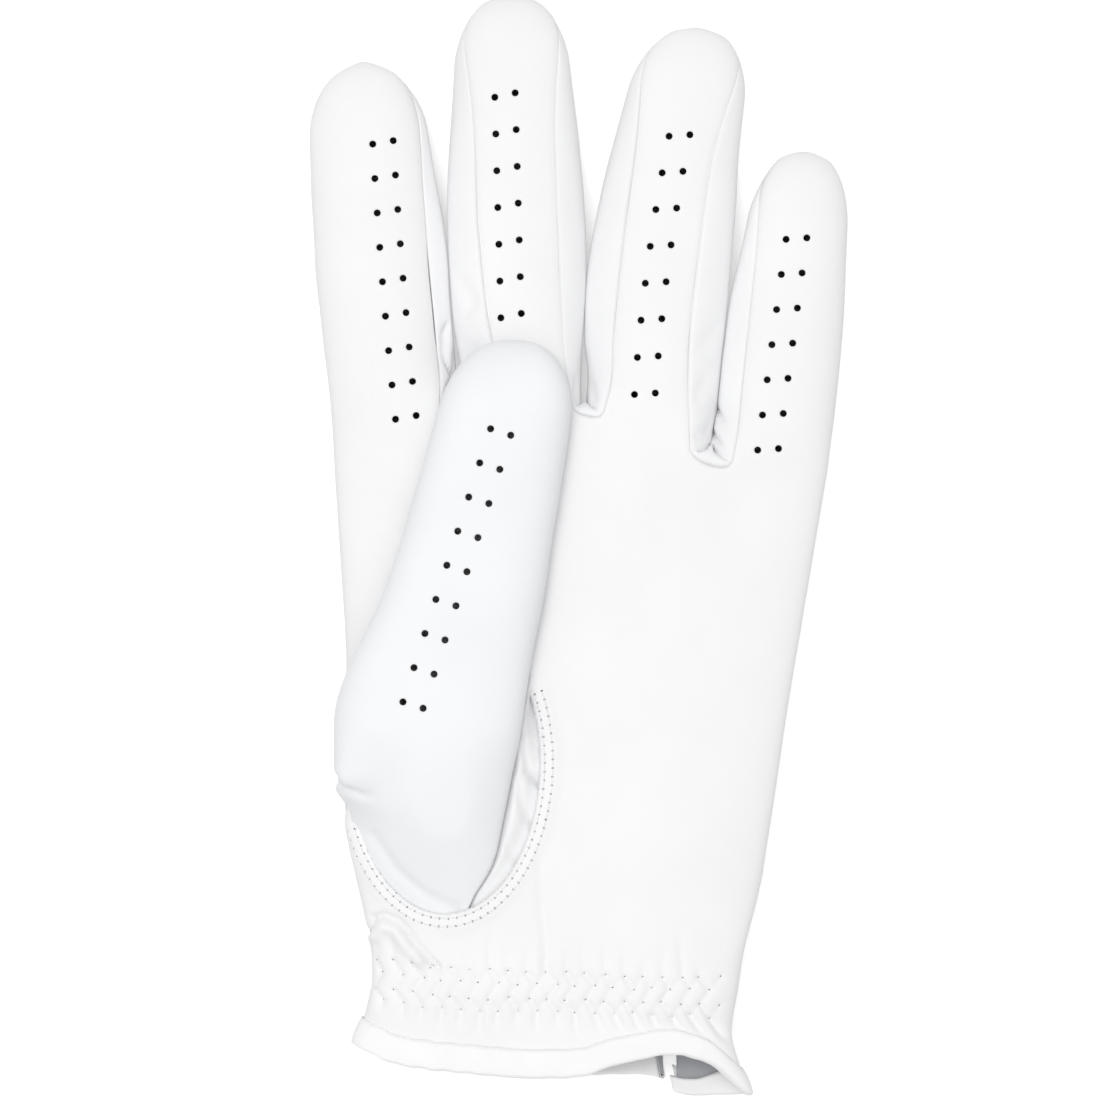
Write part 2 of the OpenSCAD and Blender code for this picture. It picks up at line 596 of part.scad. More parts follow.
// Binding: a tape folded over the cuff edge, from one side of the vent round the palm to the other
function fold_section(u, side) = let (near = fold_room, far = fold_room + binding_tape,
        top = up(binding_width), edge = up(-fold_room), low = up(-fold_drop))
    [palm_point(u, top, -far, side), palm_point(u, low, -far, side),
     palm_point(u, low, leather + far, side), palm_point(u, top, leather + far, side),
     palm_point(u, top, leather + near, side), palm_point(u, edge, leather + near, side),
     palm_point(u, edge, -near, side), palm_point(u, top, -near, side)];
hem_us = [for (c = hand_columns) column_u(c)];
vent_left_u = u_of(vent_x - vent_width / 2, 0);
vent_right_u = u_of(vent_x + vent_width / 2, 0);
vent_room = 0.01;
hem_sections = concat(
    [fold_section(vent_left_u, BACK)],
    [for (k = [len(hem_us) - 2:-1:1]) if (hem_us[k] < vent_left_u - vent_room)
        fold_section(hem_us[k], BACK)],
    [for (u = hem_us) fold_section(u, PALM)],
    [for (k = [len(hem_us) - 2:-1:1]) if (hem_us[k] > vent_right_u + vent_room)
        fold_section(hem_us[k], BACK)],
    [fold_section(vent_right_u, BACK)]);
module hem_binding() {
    n = len(hem_sections[0]);
    last = (len(hem_sections) - 1) * n;
    walls = [[0, 1, 6, 7], [1, 2, 5, 6], [2, 3, 4, 5]];
    function split(q, from) = [[q[0] + from, q[1] + from, q[2] + from],
        [q[0] + from, q[2] + from, q[3] + from]];
    function turned(q) = [q[3], q[2], q[1], q[0]];
    sides = [for (k = [0:len(hem_sections) - 2]) for (i = [0:n - 1]) let (m = (i + 1) % n)
        each split([i, m, m + n, i + n], k * n)];
    caps = [for (w = walls) each concat(split(turned(w), 0), split(w, last))];
    color(trim_white)
        placed()
            polyhedron([for (s = hem_sections) each s], concat(sides, caps), convexity = 8);
}

// Elastics, sewn flat inside the wrist
elastic_room = 0.3;
elastic_margin = 0.05;
elastic_rows = 2;
function elastic_grid(middle, depth, side, us) = [for (k = [0:elastic_rows])
    [for (u = us) palm_point(u, t_of(middle + elastic_width * (k / elastic_rows - 0.5), u, side),
        leather + elastic_room + depth, side)]];
palm_elastic_us = [for (u = hem_us) if (u > elastic_margin && u < 1 - elastic_margin) u];
facing_left_u = u_of(vent_x - vent_width / 2 - facing_width, 0);
back_elastic_us = [for (u = hem_us) if (u > elastic_margin && u < facing_left_u - elastic_margin) u];
module palm_elastic(middle) {
    top = elastic_grid(middle, 0, PALM, palm_elastic_us);
    under = elastic_grid(middle, elastic_thick, PALM, palm_elastic_us);
    color(trim_white)
        placed()
            sheet(top, under, function (i, j) true);
}

module palm_elastic_upper() {
    palm_elastic(elastic_up + elastic_pitch);
}

module palm_elastic_lower() {
    palm_elastic(elastic_up);
}

module back_elastic() {
    middle = elastic_up + elastic_pitch / 2;
    top = elastic_grid(middle, elastic_thick, BACK, back_elastic_us);
    under = elastic_grid(middle, 0, BACK, back_elastic_us);
    color(trim_white)
        placed()
            sheet(top, under, function (i, j) true);
}

// Facing inside the back, round the vent
facing_xs = [for (side = [-1, 1]) each [for (k = [0, 0.5, 1])
    vent_x + side * vent_width / 2 + facing_width * (side < 0 ? k - 1 : k)]];
facing_steps = 6;
facing_ys = concat([for (k = [0:facing_steps]) mix(hem_y(vent_left_u, BACK) + binding_width + 1, vent_top,
    k / facing_steps)], [vent_top + facing_width]);
function facing_grid(depth) = [for (y = facing_ys)
    [for (x = facing_xs) over(x, y, -leather - elastic_room - depth, BACK)]];
module vent_facing() {
    color(trim_white)
        placed()
            sheet(facing_grid(binding_tape), facing_grid(0), function (i, j) i != 2 || j == facing_steps);
}

// Closure: loop patch on the back, tab hinged beside the vent
tab_x = vent_x + vent_width / 2 + 3;
tab_end_round = 9;
patch_round = 3;
module rounded(length, width, r) {
    translate([r, 0])
        square([length - 2 * r, width]);
    translate([0, r])
        square([length, width - 2 * r]);
    for (x = [r, length - r])
        for (y = [r, width - r])
            translate([x, y])
                circle(r, $fn = 48);
}
module tab_outline(inset) {
    translate([tab_x - tab_length + inset, tab_up + inset])
        union() {
            rounded(tab_length - 2 * inset, tab_width - 2 * inset, tab_end_round - inset);
            translate([tab_length / 2, 0])
                square([tab_length / 2 - 2 * inset, tab_width - 2 * inset]);
        }
}
loop_inset = 1;
loop_x = vent_x - vent_width / 2 - facing_width - loop_length;
module loop_patch() {
    color(grey)
        placed()
            translate([loop_x, tab_up + loop_inset, loop_z])
                linear_extrude(loop_thick)
                    rounded(loop_length, tab_width - 2 * loop_inset, patch_round);
}

// Sewn end of the tab, under the narrow leaf beside the vent
base_length = 6;
base_steps = 4;
base_room = 0.3;
module tab_base() {
    ys = [for (k = [0:base_steps]) tab_up + tab_width * k / base_steps];
    xs = [for (k = [0:base_steps]) tab_x + base_room + base_length * k / base_steps];
    color(white)
        placed()
            sheet([for (y = ys) [for (x = xs) over(x, y, base_room, BACK)]],
                [for (y = ys) [for (x = xs) [x, y, hook_top + base_room]]], function (i, j) true);
}

// The tab's stitches lie in a channel, so that its face stays flat
edge_row = 1.6;
channel = thread + 0.1;
tab_left = tab_x - tab_length + edge_row;
tab_right = tab_x - edge_row;
tab_low = tab_up + edge_row;
tab_high = tab_up + tab_width - edge_row;
module closure_tab() {
    color(white)
        placed()
            difference() {
                linear_extrude(leather)
                    tab_outline(0);
                for (y = [tab_low, tab_high])
                    translate([tab_left + tab_end_round, y - channel])
                        cube([tab_right - tab_left - tab_end_round, 2 * channel, channel]);
                translate([tab_left - channel, tab_low + tab_end_round])
                    cube([2 * channel, tab_high - tab_low - 2 * tab_end_round, channel]);
            }
}

lining_inset = 0.6;
module tab_lining() {
    color(trim_white)
        placed()
            translate([0, 0, lining_z])
                linear_extrude(lining_thick)
                    tab_outline(lining_inset);
}

hook_margin = 3;
hook_end = 6;
module hook_patch() {
    color(grey)
        placed()
            translate([tab_x - tab_length + hook_end, tab_up + hook_margin, hook_z])
                linear_extrude(hook_thick)
                    rounded(hook_length, tab_width - 2 * hook_margin, patch_round);
}

// Stitches
seam_rows = [1.1, 2.9];
seam_from = -132;
seam_to = 28;
thread_lift = 0.4;
function seam_place(angle, grow) = let (p = hole_rim(angle, grow)) over(p.x, p.y, thread_lift, PALM);
module thumb_seam_row(grow) {
    round_radius = (thumb_hole_width + thumb_hole_length) / 4 + grow;
    count = floor((seam_to - seam_from) * PI / 180 * round_radius / stitch_pitch);
    step = (seam_to - seam_from) / count;
    reach = stitch / round_radius * 180 / PI / 2;
    color(thread_white)
        placed()
            for (k = [0:count]) {
                angle = seam_from + k * step;
                a = seam_place(angle - reach, grow);
                b = seam_place(angle + reach, grow);
                thread_piece(a, b, palm_out(hole_rim(angle, grow)));
            }
}

module thumb_seam_stitches_inner() {
    thumb_seam_row(seam_rows[0]);
}

module thumb_seam_stitches_outer() {
    thumb_seam_row(seam_rows[1]);
}

zigzag_pitch = 2.15;
zigzag_height = 2.8;
zigzag_gap = 0.5;
module zigzag(middle) {
    count = floor(wrist_width * (1 - 4 * elastic_margin) / zigzag_pitch);
    function place(k) = let (u = mix(2 * elastic_margin, 1 - 2 * elastic_margin, k / count))
        palm_point(u, t_of(middle + zigzag_height * (k % 2 - 0.5), u, PALM), -thread_lift, PALM);
    color(thread_white)
        placed()
            for (k = [0:count - 1]) {
                a = place(k);
                b = place(k + 1);
                rest = unit(b - a) * zigzag_gap;
                thread_piece(a + rest, b - rest, [0, 0, 1]);
            }
}

module elastic_stitches_upper() {
    zigzag(elastic_up + elastic_pitch);
}

module elastic_stitches_lower() {
    zigzag(elastic_up);
}

// A row of stitches along a straight edge from a to b
module straight_row(a, b, z) {
    count = floor(norm(b - a) / stitch_pitch);
    along = unit(b - a);
    for (k = [0:count - 1]) {
        p = a + (b - a) * (k + 0.5) / count;
        q = along * stitch / 2;
        thread_piece([p.x - q.x, p.y - q.y, z], [p.x + q.x, p.y + q.y, z], [0, 0, 1]);
    }
}

module tab_stitches() {
    z = (channel - thread) / 2;
    color(thread_white)
        placed() {
            for (y = [tab_low, tab_high])
                straight_row([tab_left + tab_end_round, y], [tab_right, y], z);
            straight_row([tab_left, tab_low + tab_end_round], [tab_left, tab_high - tab_end_round], z);
        }
}

module loop_patch_stitches() {
    low = tab_up + loop_inset + edge_row / 2;
    high = tab_up + tab_width - loop_inset - edge_row / 2;
    left = loop_x + edge_row / 2;
    right = loop_x + loop_length - edge_row / 2;
    color(thread_white)
        placed() {
            straight_row([left + patch_round, low], [right - patch_round, low], loop_z - thread);
            straight_row([left + patch_round, high], [right - patch_round, high], loop_z - thread);
            straight_row([left, low + patch_round], [left, high - patch_round], loop_z - thread);
            straight_row([right, low + patch_round], [right, high - patch_round], loop_z - thread);
        }
}

palm_panel();
back_panel();
fourchette_index_middle();
fourchette_middle_ring();
fourchette_ring_little();
thumb_front();
thumb_back();
thumb_gusset();
hem_binding();
palm_elastic_upper();
palm_elastic_lower();
back_elastic();
vent_facing();
loop_patch();
tab_base();
closure_tab();
tab_lining();
hook_patch();
thumb_seam_stitches_inner();
thumb_seam_stitches_outer();
elastic_stitches_upper();
elastic_stitches_lower();
tab_stitches();
loop_patch_stitches();
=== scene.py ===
"""A white leather golf glove for the left hand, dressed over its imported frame.

Shapes are worked out in millimetres in the part's own layout, with the middle of the knuckle line at x = 0
and the cuff at y = 0. They move to the row frame, in metres, when a mesh is made. A named pair of numbers
for ease() says where a change starts and over how much it runs.
"""

import bpy
import numpy as np
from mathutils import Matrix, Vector


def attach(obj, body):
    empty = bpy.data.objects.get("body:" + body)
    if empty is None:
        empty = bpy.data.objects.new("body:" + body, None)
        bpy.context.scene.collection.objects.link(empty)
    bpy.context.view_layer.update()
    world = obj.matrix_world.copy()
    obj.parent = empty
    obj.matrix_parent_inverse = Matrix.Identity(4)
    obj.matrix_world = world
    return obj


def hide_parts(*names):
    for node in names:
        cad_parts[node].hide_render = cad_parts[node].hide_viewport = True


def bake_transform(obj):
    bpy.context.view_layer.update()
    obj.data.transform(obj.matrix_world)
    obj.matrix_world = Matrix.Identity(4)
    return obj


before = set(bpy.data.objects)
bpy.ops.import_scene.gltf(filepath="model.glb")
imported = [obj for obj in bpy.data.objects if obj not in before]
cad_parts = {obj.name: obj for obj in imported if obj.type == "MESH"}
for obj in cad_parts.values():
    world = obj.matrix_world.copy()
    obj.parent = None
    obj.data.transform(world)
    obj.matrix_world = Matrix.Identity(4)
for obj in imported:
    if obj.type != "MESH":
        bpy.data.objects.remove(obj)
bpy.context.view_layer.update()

MM = 0.001
FAR = 99.0
PALM, BACK = 1, -1
INDEX, LITTLE = 0, 3

# Sizes of the part: lengths in mm, angles written in degrees, and shares of a length or width
LEATHER = 0.8
SEAM_GAP = 0.2
LAYER_ROOM = 0.3
INSIDE_LEATHER = LEATHER + LAYER_ROOM
CUFF_WIDTH = 87
PALM_LENGTH = 144
PALM_WIDTHS = ((0, CUFF_WIDTH), (16, 79), (52, 92.5), (95, 99.2))
PALM_SHIFTS = ((0, 6), (52, 5.7), (95, 2.4), (PALM_LENGTH, 0))
PALM_DEPTH = 16
WRIST_DEPTH = 15
FLOOR_FALLS = (0.34, 0.3)
DEPTH_GROWS = (0, 0.8)
HEM_SLANT = 11
HEM_BELOW = 0.9
HEM_WAVE = {PALM: ((0, -0.7), (0.1, -3.4), (0.25, -3.8), (0.45, -2.7), (0.58, -0.9), (0.66, 2.2), (0.79, 5.9),
                   (0.9, 5), (1, -1.1)),
            BACK: ((0, -0.7), (0.1, -3.4), (0.25, -4), (0.45, -3.4), (0.58, -1.9), (0.66, -0.5), (0.775, 0),
                   (0.82, -3), (0.9, -2.6), (1, -1.1))}
FINGER_LENGTH = (78.3, 89.9, 89.1, 69)
FINGER_WIDTH = (27.3, 29.3, 28, 24.9)
FINGER_SWELL = (1.2, 2.6, 3.2, 1.4)
FINGER_TIP_WIDTH = (25.4, 25.6, 26, 21.8)
FINGER_LEAN = np.radians((-4.4, -1.6, 6.9, 5.9))
FINGER_BOW = (-0.6, 0, -2.2, 0)
FINGER_DEPTH = 14.5
SWELL_AT = 0.45
BASE_BLENDS = (0, 0.22)
TIP_DEPTH = 11.5
TIP_ROUND = 15
TIP_NARROWS = 1
TIP_FLAT = (0.2, 0.22, 0.26, 0.32)
TIP_THIN = 0.02
TIP_CROWN = (1.4, 0.5, 0.8, 1)
SKIVE = 3
SKIVED_SHARE = 0.08
SEAM_AT = (0, 0.1, 0.25, 0.45)
SEAM_HALF = {(0, 1): (11, 12, 12.2, 12), (1, -1): (9, 5.8, 7.3, 8.6), (1, 1): (11.2, 10.2, 9.4, 9),
             (2, -1): (10.5, 9.8, 9.3, 9), (2, 1): (8.4, 7.6, 7.4, 7.8), (3, -1): (9.4, 9, 9, 9)}
SEAM_WIDEST = 0.93
SEAM_OPENS_FROM, SEAM_OPENS_OVER, SEAM_OPENS_POWER = 0.6, 0.36, 2.4
FORK_HALF = 1.4
FORK_DIP = 2
FORK_DIPS = (0.93, 0.07)
FORK_BULGE = (5, 3.5, 6)
PUFF_AT = (0, 0.05, 0.15, 0.35, 0.5, 0.7, 1)
PUFF = {(0, 1): (2.1, 2.5, 2.5, 2.4, 2.3, 1.5, 0), (2, -1): (1.7, 2.1, 1.9, 1.5, 0.8, 0.3, 0),
        (2, 1): (0.3, 0.5, 1.1, 0.7, 0.2, 0, 0), (3, -1): (2.2, 3, 2, 1.4, 1.2, 0.7, 0)}
GUSSET_GAP = -0.12
GUSSET_WIDTH = 14
KNUCKLE_DROP = (5.4, 0.7, 0, 11.1, 13.8)
THUMB_LENGTH = 124.7
THUMB_DEPTH = 12
THUMB_CLEAR = 0.5
THUMB_EDGE = -54
THUMB_INNER = ((0, 29), (0.077, 34.8), (0.163, 37.5), (0.225, 39.1), (0.293, 40.9))
THUMB_INNER_TO = 0.42
THUMB_MIDDLE = ((0, 20), (0.25, 21), (0.38, 22), (0.55, 28.6), (0.7, 33), (0.87, 37.4), (1, 39.4))
THUMB_HALF = ((0, 19), (0.28, 21), (0.36, 21), (0.58, 17.5), (0.86, 15), (1, 14))
RIM_X, RIM_Y = -29.5, 66
RIM_HALF_WIDTH, RIM_HALF_LENGTH = 20.75, 33
HOLE_RADIUS = 0.75
HOLE_PAIR = 4.6
HOLE_ROWS = (9, 9, 8, 7)
HOLE_FIRST = (17.1, 21.75, 23.7, 18.65)
HOLE_PITCH = (7.6, 8.1, 8.2, 7.8)
HOLE_SHIFT = (3.7, -1.7, 0, -0.45)
HOLE_DRIFT = (0, 0, -0.25, -0.25)
HOLE_TURN = np.radians((10, 12, 4, 4))
THUMB_HOLE_ROWS = 9
THUMB_HOLE_PITCH = 7.8
THUMB_HOLE_TIP = 20.4
THUMB_HOLE_SHIFT = 2.6
THUMB_HOLE_LEAN = np.radians(17.8)
BINDING_WIDTH = 5.4
BINDING_TAPE = 0.6
FOLD_ROOM = 0.15
ELASTIC_WIDTH = 5
ELASTIC_THICK = 0.9
ELASTIC_UP = 13
ELASTIC_PITCH = 6.5
VENT_X = 20
VENT_LENGTH = 46
VENT_WIDTH = 3
FACING_WIDTH = 5
TAB_LENGTH = 54
TAB_WIDTH = 28
TAB_UP = 13
TAB_FROM_VENT = 3
HINGE_ROOM = 3
TAB_X = VENT_X + VENT_WIDTH / 2 + TAB_FROM_VENT
TAB_START = TAB_X - TAB_LENGTH
TAB_FREE_END = TAB_X - HINGE_ROOM
TAB_END_ROUND = 9
TAB_BASE = 6.3
LINING = 0.5
HOOK = 0.8
LOOP = 0.8
HOOK_LENGTH = 34
HOOK_FROM_END = 6
LOOP_LENGTH = 42
PATCH_CORNER = 3
HOOK_TOP = LEATHER + LINING + HOOK
LOOP_Z = HOOK_TOP + LAYER_ROOM
CLOSURE_STACK = LOOP_Z + LOOP + SEAM_GAP
THREAD = 0.4
STITCH_PITCH = 1.9


# Curves
def mix(a, b, t):
    return a + (b - a) * t


def smooth(t):
    c = np.clip(t, 0, 1)
    return c * c * (3 - 2 * c)


def ease(t, start, run):
    """0 up to start, 1 from start + run on, and smooth between."""
    return smooth((t - start) / run)


def arch(s, power):
    return np.maximum(0, 1 - np.minimum(1, np.abs(s)) ** power) ** (1 / power)


def curve(stations, x):
    """Smooth value at x through stations of (place, value)."""
    p = np.array(list(stations), float)
    x = np.asarray(x, float)
    k = np.clip(np.searchsorted(p[:, 0], x, side="right") - 1, 0, len(p) - 2)
    low = np.maximum(np.arange(len(p)) - 1, 0)
    high = np.minimum(np.arange(len(p)) + 1, len(p) - 1)
    slope = (p[high, 1] - p[low, 1]) / (p[high, 0] - p[low, 0])
    h = p[k + 1, 0] - p[k, 0]
    t = (x - p[k, 0]) / h
    rise = p[k + 1, 1] - p[k, 1]
    m0, m1 = slope[k] * h, slope[k + 1] * h
    return p[k, 1] + t * (m0 + t * (3 * rise - 2 * m0 - m1 + t * (m0 + m1 - 2 * rise)))


LATTICE = 64
LATTICE_X, LATTICE_Y = 17.3, 23.7


def wander(x, y, size, seed):
    """Soft random height from -1 to 1, with lumps about size across."""
    lattice = np.random.default_rng(seed).uniform(-1, 1, (LATTICE, LATTICE))
    gx, gy = np.asarray(x, float) / size + LATTICE_X, np.asarray(y, float) / size + LATTICE_Y
    i, j = np.floor(gx).astype(int), np.floor(gy).astype(int)
    fx, fy = smooth(gx - i), smooth(gy - j)

    def at(a, b):
        return lattice[(j + b) % LATTICE, (i + a) % LATTICE]

    return mix(mix(at(0, 0), at(1, 0), fx), mix(at(0, 1), at(1, 1), fx), fy)


def lumps(x, y, layers):
    """Sum of soft random layers, each its height, size across and seed."""
    return sum(height * wander(x, y, size, seed) for height, size, seed in layers)


def unit(v):
    return v / np.maximum(np.linalg.norm(v, axis=-1, keepdims=True), 1e-12)


def distances(path):
    """Distance along a path of each of its points."""
    return np.concatenate([[0], np.cumsum(np.linalg.norm(np.diff(path, axis=0), axis=1))])


# Surfaces of the hand: u and s run across, t and v run from the cuff and the knuckle line towards the tips
KNUCKLE_WIDTH = sum(FINGER_WIDTH)
KNUCKLE_AT = [sum(FINGER_WIDTH[:k]) / KNUCKLE_WIDTH for k in range(5)]
SQUARE = {PALM: 3.2, BACK: 4.5}
FINGER_SQUARE = {PALM: 2.3, BACK: 3.0}
TIP_SQUARE = 2.1
TIP_SIDE_SQUARE = 2.2


def palm_half(t):
    return curve([*PALM_WIDTHS, (PALM_LENGTH, KNUCKLE_WIDTH)], PALM_LENGTH * t) / 2


def palm_mid(t):
    return -curve(PALM_SHIFTS, PALM_LENGTH * t)


def palm_floor(t):
    return CLOSURE_STACK * (1 - ease(t, *FLOOR_FALLS))


def palm_section(t):
    return mix(WRIST_DEPTH, PALM_DEPTH, ease(t, *DEPTH_GROWS))


def hem_y(u, side):
    return HEM_SLANT * (0.5 - u) + curve(HEM_WAVE[side], u)


def knuckle_y(u):
    return PALM_LENGTH - curve(zip(KNUCKLE_AT, KNUCKLE_DROP), u)


def half_section(depth, inset, side, s, square):
    return side * (SEAM_GAP / 2 + (depth / 2 - inset - SEAM_GAP / 2) * arch(s, square))


def palm_point(u, t, side, inset=0.0):
    u, t = np.broadcast_arrays(np.asarray(u, float), np.asarray(t, float))
    s = 2 * u - 1
    depth = palm_section(t)
    x = palm_mid(t) + s * (palm_half(t) - inset)
    y = mix(hem_y(u, side), knuckle_y(u), t)
    z = palm_floor(t) + depth / 2 + half_section(depth, inset, side, s, SQUARE[side])
    return np.stack([x, y, z], -1)


def u_of(x, t):
    return 0.5 + (x - palm_mid(t)) / palm_half(t) / 2


def t_of(y, u, side):
    return (y - hem_y(u, side)) / (knuckle_y(u) - hem_y(u, side))


def over(x, y, side, inset=0.0):
    """Point of the palm's or back's surface over the plan place x, y, or of one inset from it."""
    x, y = np.broadcast_arrays(np.asarray(x, float), np.asarray(y, float))
    u = np.full(x.shape, 0.5)
    for _ in range(7):
        t = t_of(y, u, side)
        u = np.clip(u_of(x, t), 0, 1)
    return palm_point(u, t, side, inset)


def outward(x, y, side):
    """Outward direction of the palm's or back's surface over the plan place x, y."""
    step = 0.5
    along = over(x + step, y, side) - over(x - step, y, side)
    up = over(x, y + step, side) - over(x, y - step, side)
    return unit(np.cross(along, up)) * side


def base_half(f):
    sides = 1 if f in (INDEX, LITTLE) else 2
    return (FINGER_WIDTH[f] - sides * FORK_HALF) / 2


def base_u(f):
    out = {INDEX: -1, LITTLE: 1}.get(f, 0)
    return (KNUCKLE_AT[f] + KNUCKLE_AT[f + 1]) / 2 + out * FORK_HALF / 2 / KNUCKLE_WIDTH


def finger_way(f):
    return np.array([np.sin(FINGER_LEAN[f]), np.cos(FINGER_LEAN[f])])


def finger_across(f):
    return np.array([np.cos(FINGER_LEAN[f]), -np.sin(FINGER_LEAN[f])])


def finger_line(f, v):
    base = np.array([(2 * base_u(f) - 1) * KNUCKLE_WIDTH / 2, float(knuckle_y(base_u(f)))])
    v = np.asarray(v, float)[..., None]
    return base + finger_way(f) * FINGER_LENGTH[f] * v + finger_across(f) * FINGER_BOW[f] * 4 * v * (1 - v)


def tip_start(f):
    return 1 - TIP_ROUND / FINGER_LENGTH[f]


def tip_share(f, v):
    return np.maximum(0, (v - tip_start(f)) / (1 - tip_start(f)))


def finger_half(f, v):
    width = curve([(0, base_half(f)), (SWELL_AT, (FINGER_WIDTH[f] + FINGER_SWELL[f]) / 2 - FORK_HALF / 2),
                   (tip_start(f), FINGER_TIP_WIDTH[f] / 2), (1, FINGER_TIP_WIDTH[f] / 2 - TIP_NARROWS)], v)
    return width * mix(TIP_FLAT[f], 1, arch(tip_share(f, v), TIP_SQUARE))


def finger_section(f, v):
    return mix(FINGER_DEPTH, TIP_DEPTH, v) * mix(TIP_THIN, 1, arch(tip_share(f, v), TIP_SIDE_SQUARE))


def seam_share(f, v, hand):
    half = curve(zip(SEAM_AT, SEAM_HALF[f, hand]), np.minimum(v, SEAM_AT[-1]))
    opening = np.clip((v - SEAM_OPENS_FROM) / SEAM_OPENS_OVER, 0, 1) ** SEAM_OPENS_POWER
    return mix(np.minimum(SEAM_WIDEST, half / finger_half(f, v)), 1, opening)


def finger_point(f, s, v, side):
    s, v = np.broadcast_arrays(np.asarray(s, float), np.asarray(v, float))
    plan = finger_line(f, v) + finger_across(f) * (s * finger_half(f, v))[..., None]
    plan = plan + finger_way(f) * (TIP_CROWN[f] * (1 - s ** 2) * smooth(tip_share(f, v)))[..., None]
    rise = half_section(finger_section(f, v), 0, side, s, FINGER_SQUARE[side])
    z = mix(FINGER_DEPTH, TIP_DEPTH, v) / 2 + rise
    own = np.concatenate([plan, z[..., None]], -1)
    base = palm_point(base_u(f) + s * base_half(f) / KNUCKLE_WIDTH, 1.0, side)
    base[..., :2] += finger_way(f) * FINGER_LENGTH[f] * v[..., None]
    return mix(base, own, ease(v, *BASE_BLENDS)[..., None])


# Surfaces of the thumb: q runs from 0 at the root of its seam to 1 at the tip
THUMB_START = RIM_Y - RIM_HALF_LENGTH + 1
THUMB_TIP_ROUND = 0.14
THUMB_TIP_FLAT = 0.08
THUMB_TIP_THIN = 0.03
THUMB_SEAM_SHARE = 0.15
THUMB_SQUARE = {PALM: 3.3, BACK: 4.5}
THUMB_ROOT_SHARE = 0.25
THUMB_SWELLS = (0, 0.38)
EDGE_LEAVES_RIM = (0.16, 0.06)
FOLD_DROP = 9
FOLD_STARTS, FOLD_ENDS = (0.15, 0.05), (0.3, 0.13)


def rim_reach(y):
    share = (y - RIM_Y) / RIM_HALF_LENGTH
    return RIM_HALF_WIDTH * np.sqrt(np.maximum(0, 1 - share ** 2))


def hole_rim(angle, grow):
    return np.stack([RIM_X + (RIM_HALF_WIDTH + grow) * np.cos(angle),
                     RIM_Y + (RIM_HALF_LENGTH + grow) * np.sin(angle)], -1)


def rim_share(x, y):
    """1 on the thumb hole's rim, and less inside it."""
    return np.hypot((x - RIM_X) / RIM_HALF_WIDTH, (y - RIM_Y) / RIM_HALF_LENGTH)


def rim_distance(x, y):
    """Distance outside the thumb hole's rim."""
    rim = np.maximum(rim_share(x, y), 0.01)
    return (rim - 1) * np.hypot(x - RIM_X, y - RIM_Y) / rim


def thumb_y(q):
    return THUMB_START + THUMB_LENGTH * q


def thumb_tip_factor(q):
    return arch(np.maximum(0, (q - 1 + THUMB_TIP_ROUND) / THUMB_TIP_ROUND), TIP_SQUARE)


def ball_mid(q):
    return THUMB_EDGE + curve(THUMB_MIDDLE, q)


def ball_half(q):
    return curve(THUMB_HALF, q) * mix(THUMB_TIP_FLAT, 1, thumb_tip_factor(q))


def thumb_left(q):
    own = ball_mid(q) - ball_half(q)
    rim = RIM_X - rim_reach(thumb_y(q))
    return np.maximum(own, mix(rim, THUMB_EDGE, ease(q, *EDGE_LEAVES_RIM)))


def thumb_right(q):
    own = ball_mid(q) + ball_half(q)
    end = float(ball_mid(THUMB_INNER_TO) + ball_half(THUMB_INNER_TO)) - THUMB_EDGE
    low = curve([*THUMB_INNER, (THUMB_INNER_TO, end)], np.clip(q, 0, THUMB_INNER_TO))
    return np.where(q >= THUMB_INNER_TO, own, THUMB_EDGE + low)


def thumb_floor(q):
    t = thumb_y(q) / PALM_LENGTH
    return palm_floor(t) + palm_section(t) + THUMB_CLEAR


def thumb_swell(q):
    return THUMB_DEPTH * mix(THUMB_ROOT_SHARE, 1, ease(q, *THUMB_SWELLS))


def thumb_section(q):
    return thumb_swell(q) * mix(THUMB_TIP_THIN, 1, thumb_tip_factor(q))


def fold_down(q):
    return FOLD_DROP * ease(q, *FOLD_STARTS) * (1 - ease(q, *FOLD_ENDS))


def thumb_point(s, q, side):
    s, q = np.broadcast_arrays(np.asarray(s, float), np.asarray(q, float))
    h = thumb_section(q)
    rim = thumb_floor(q) + THUMB_SEAM_SHARE * thumb_swell(q)
    share = 1 - THUMB_SEAM_SHARE if side == PALM else THUMB_SEAM_SHARE
    left, right = thumb_left(q), thumb_right(q)
    x = (left + right) / 2 + s * (right - left) / 2
    z = rim + side * (SEAM_GAP / 2 + (share * h - SEAM_GAP / 2) * arch(s, THUMB_SQUARE[side]))
    return np.stack([x, thumb_y(q), z], -1)


# The layout moves to the middle of the glove's plan
PLAN = np.linspace(0, 1, 21)
PLAN_LEFT = min(finger_point(INDEX, -1, PLAN, PALM)[:, 0].min(), THUMB_EDGE)
PLAN_RIGHT = finger_point(LITTLE, 1, PLAN, PALM)[:, 0].max()
PLAN_TOP = max(finger_line(f, 1.0)[1] for f in range(4))
PLAN_BOTTOM = palm_point(PLAN, -HEM_BELOW / PALM_LENGTH, BACK)[:, 1].min()
SHIFT = np.array([-(PLAN_LEFT + PLAN_RIGHT) / 2, -(PLAN_TOP + PLAN_BOTTOM) / 2, 0])


def row_place(x, y, z):
    """A layout place in the row frame, in metres."""
    return tuple((np.array([x, y, z]) + SHIFT) * MM)


# Mesh tools
def all_cells(grid):
    return np.ones((grid.shape[0] - 1, grid.shape[1] - 1), bool)


def cell_corners(cells):
    """The grid points at the corners of the marked cells."""
    padded = np.pad(cells, 1)
    return padded[:-1, :-1] | padded[1:, :-1] | padded[:-1, 1:] | padded[1:, 1:]


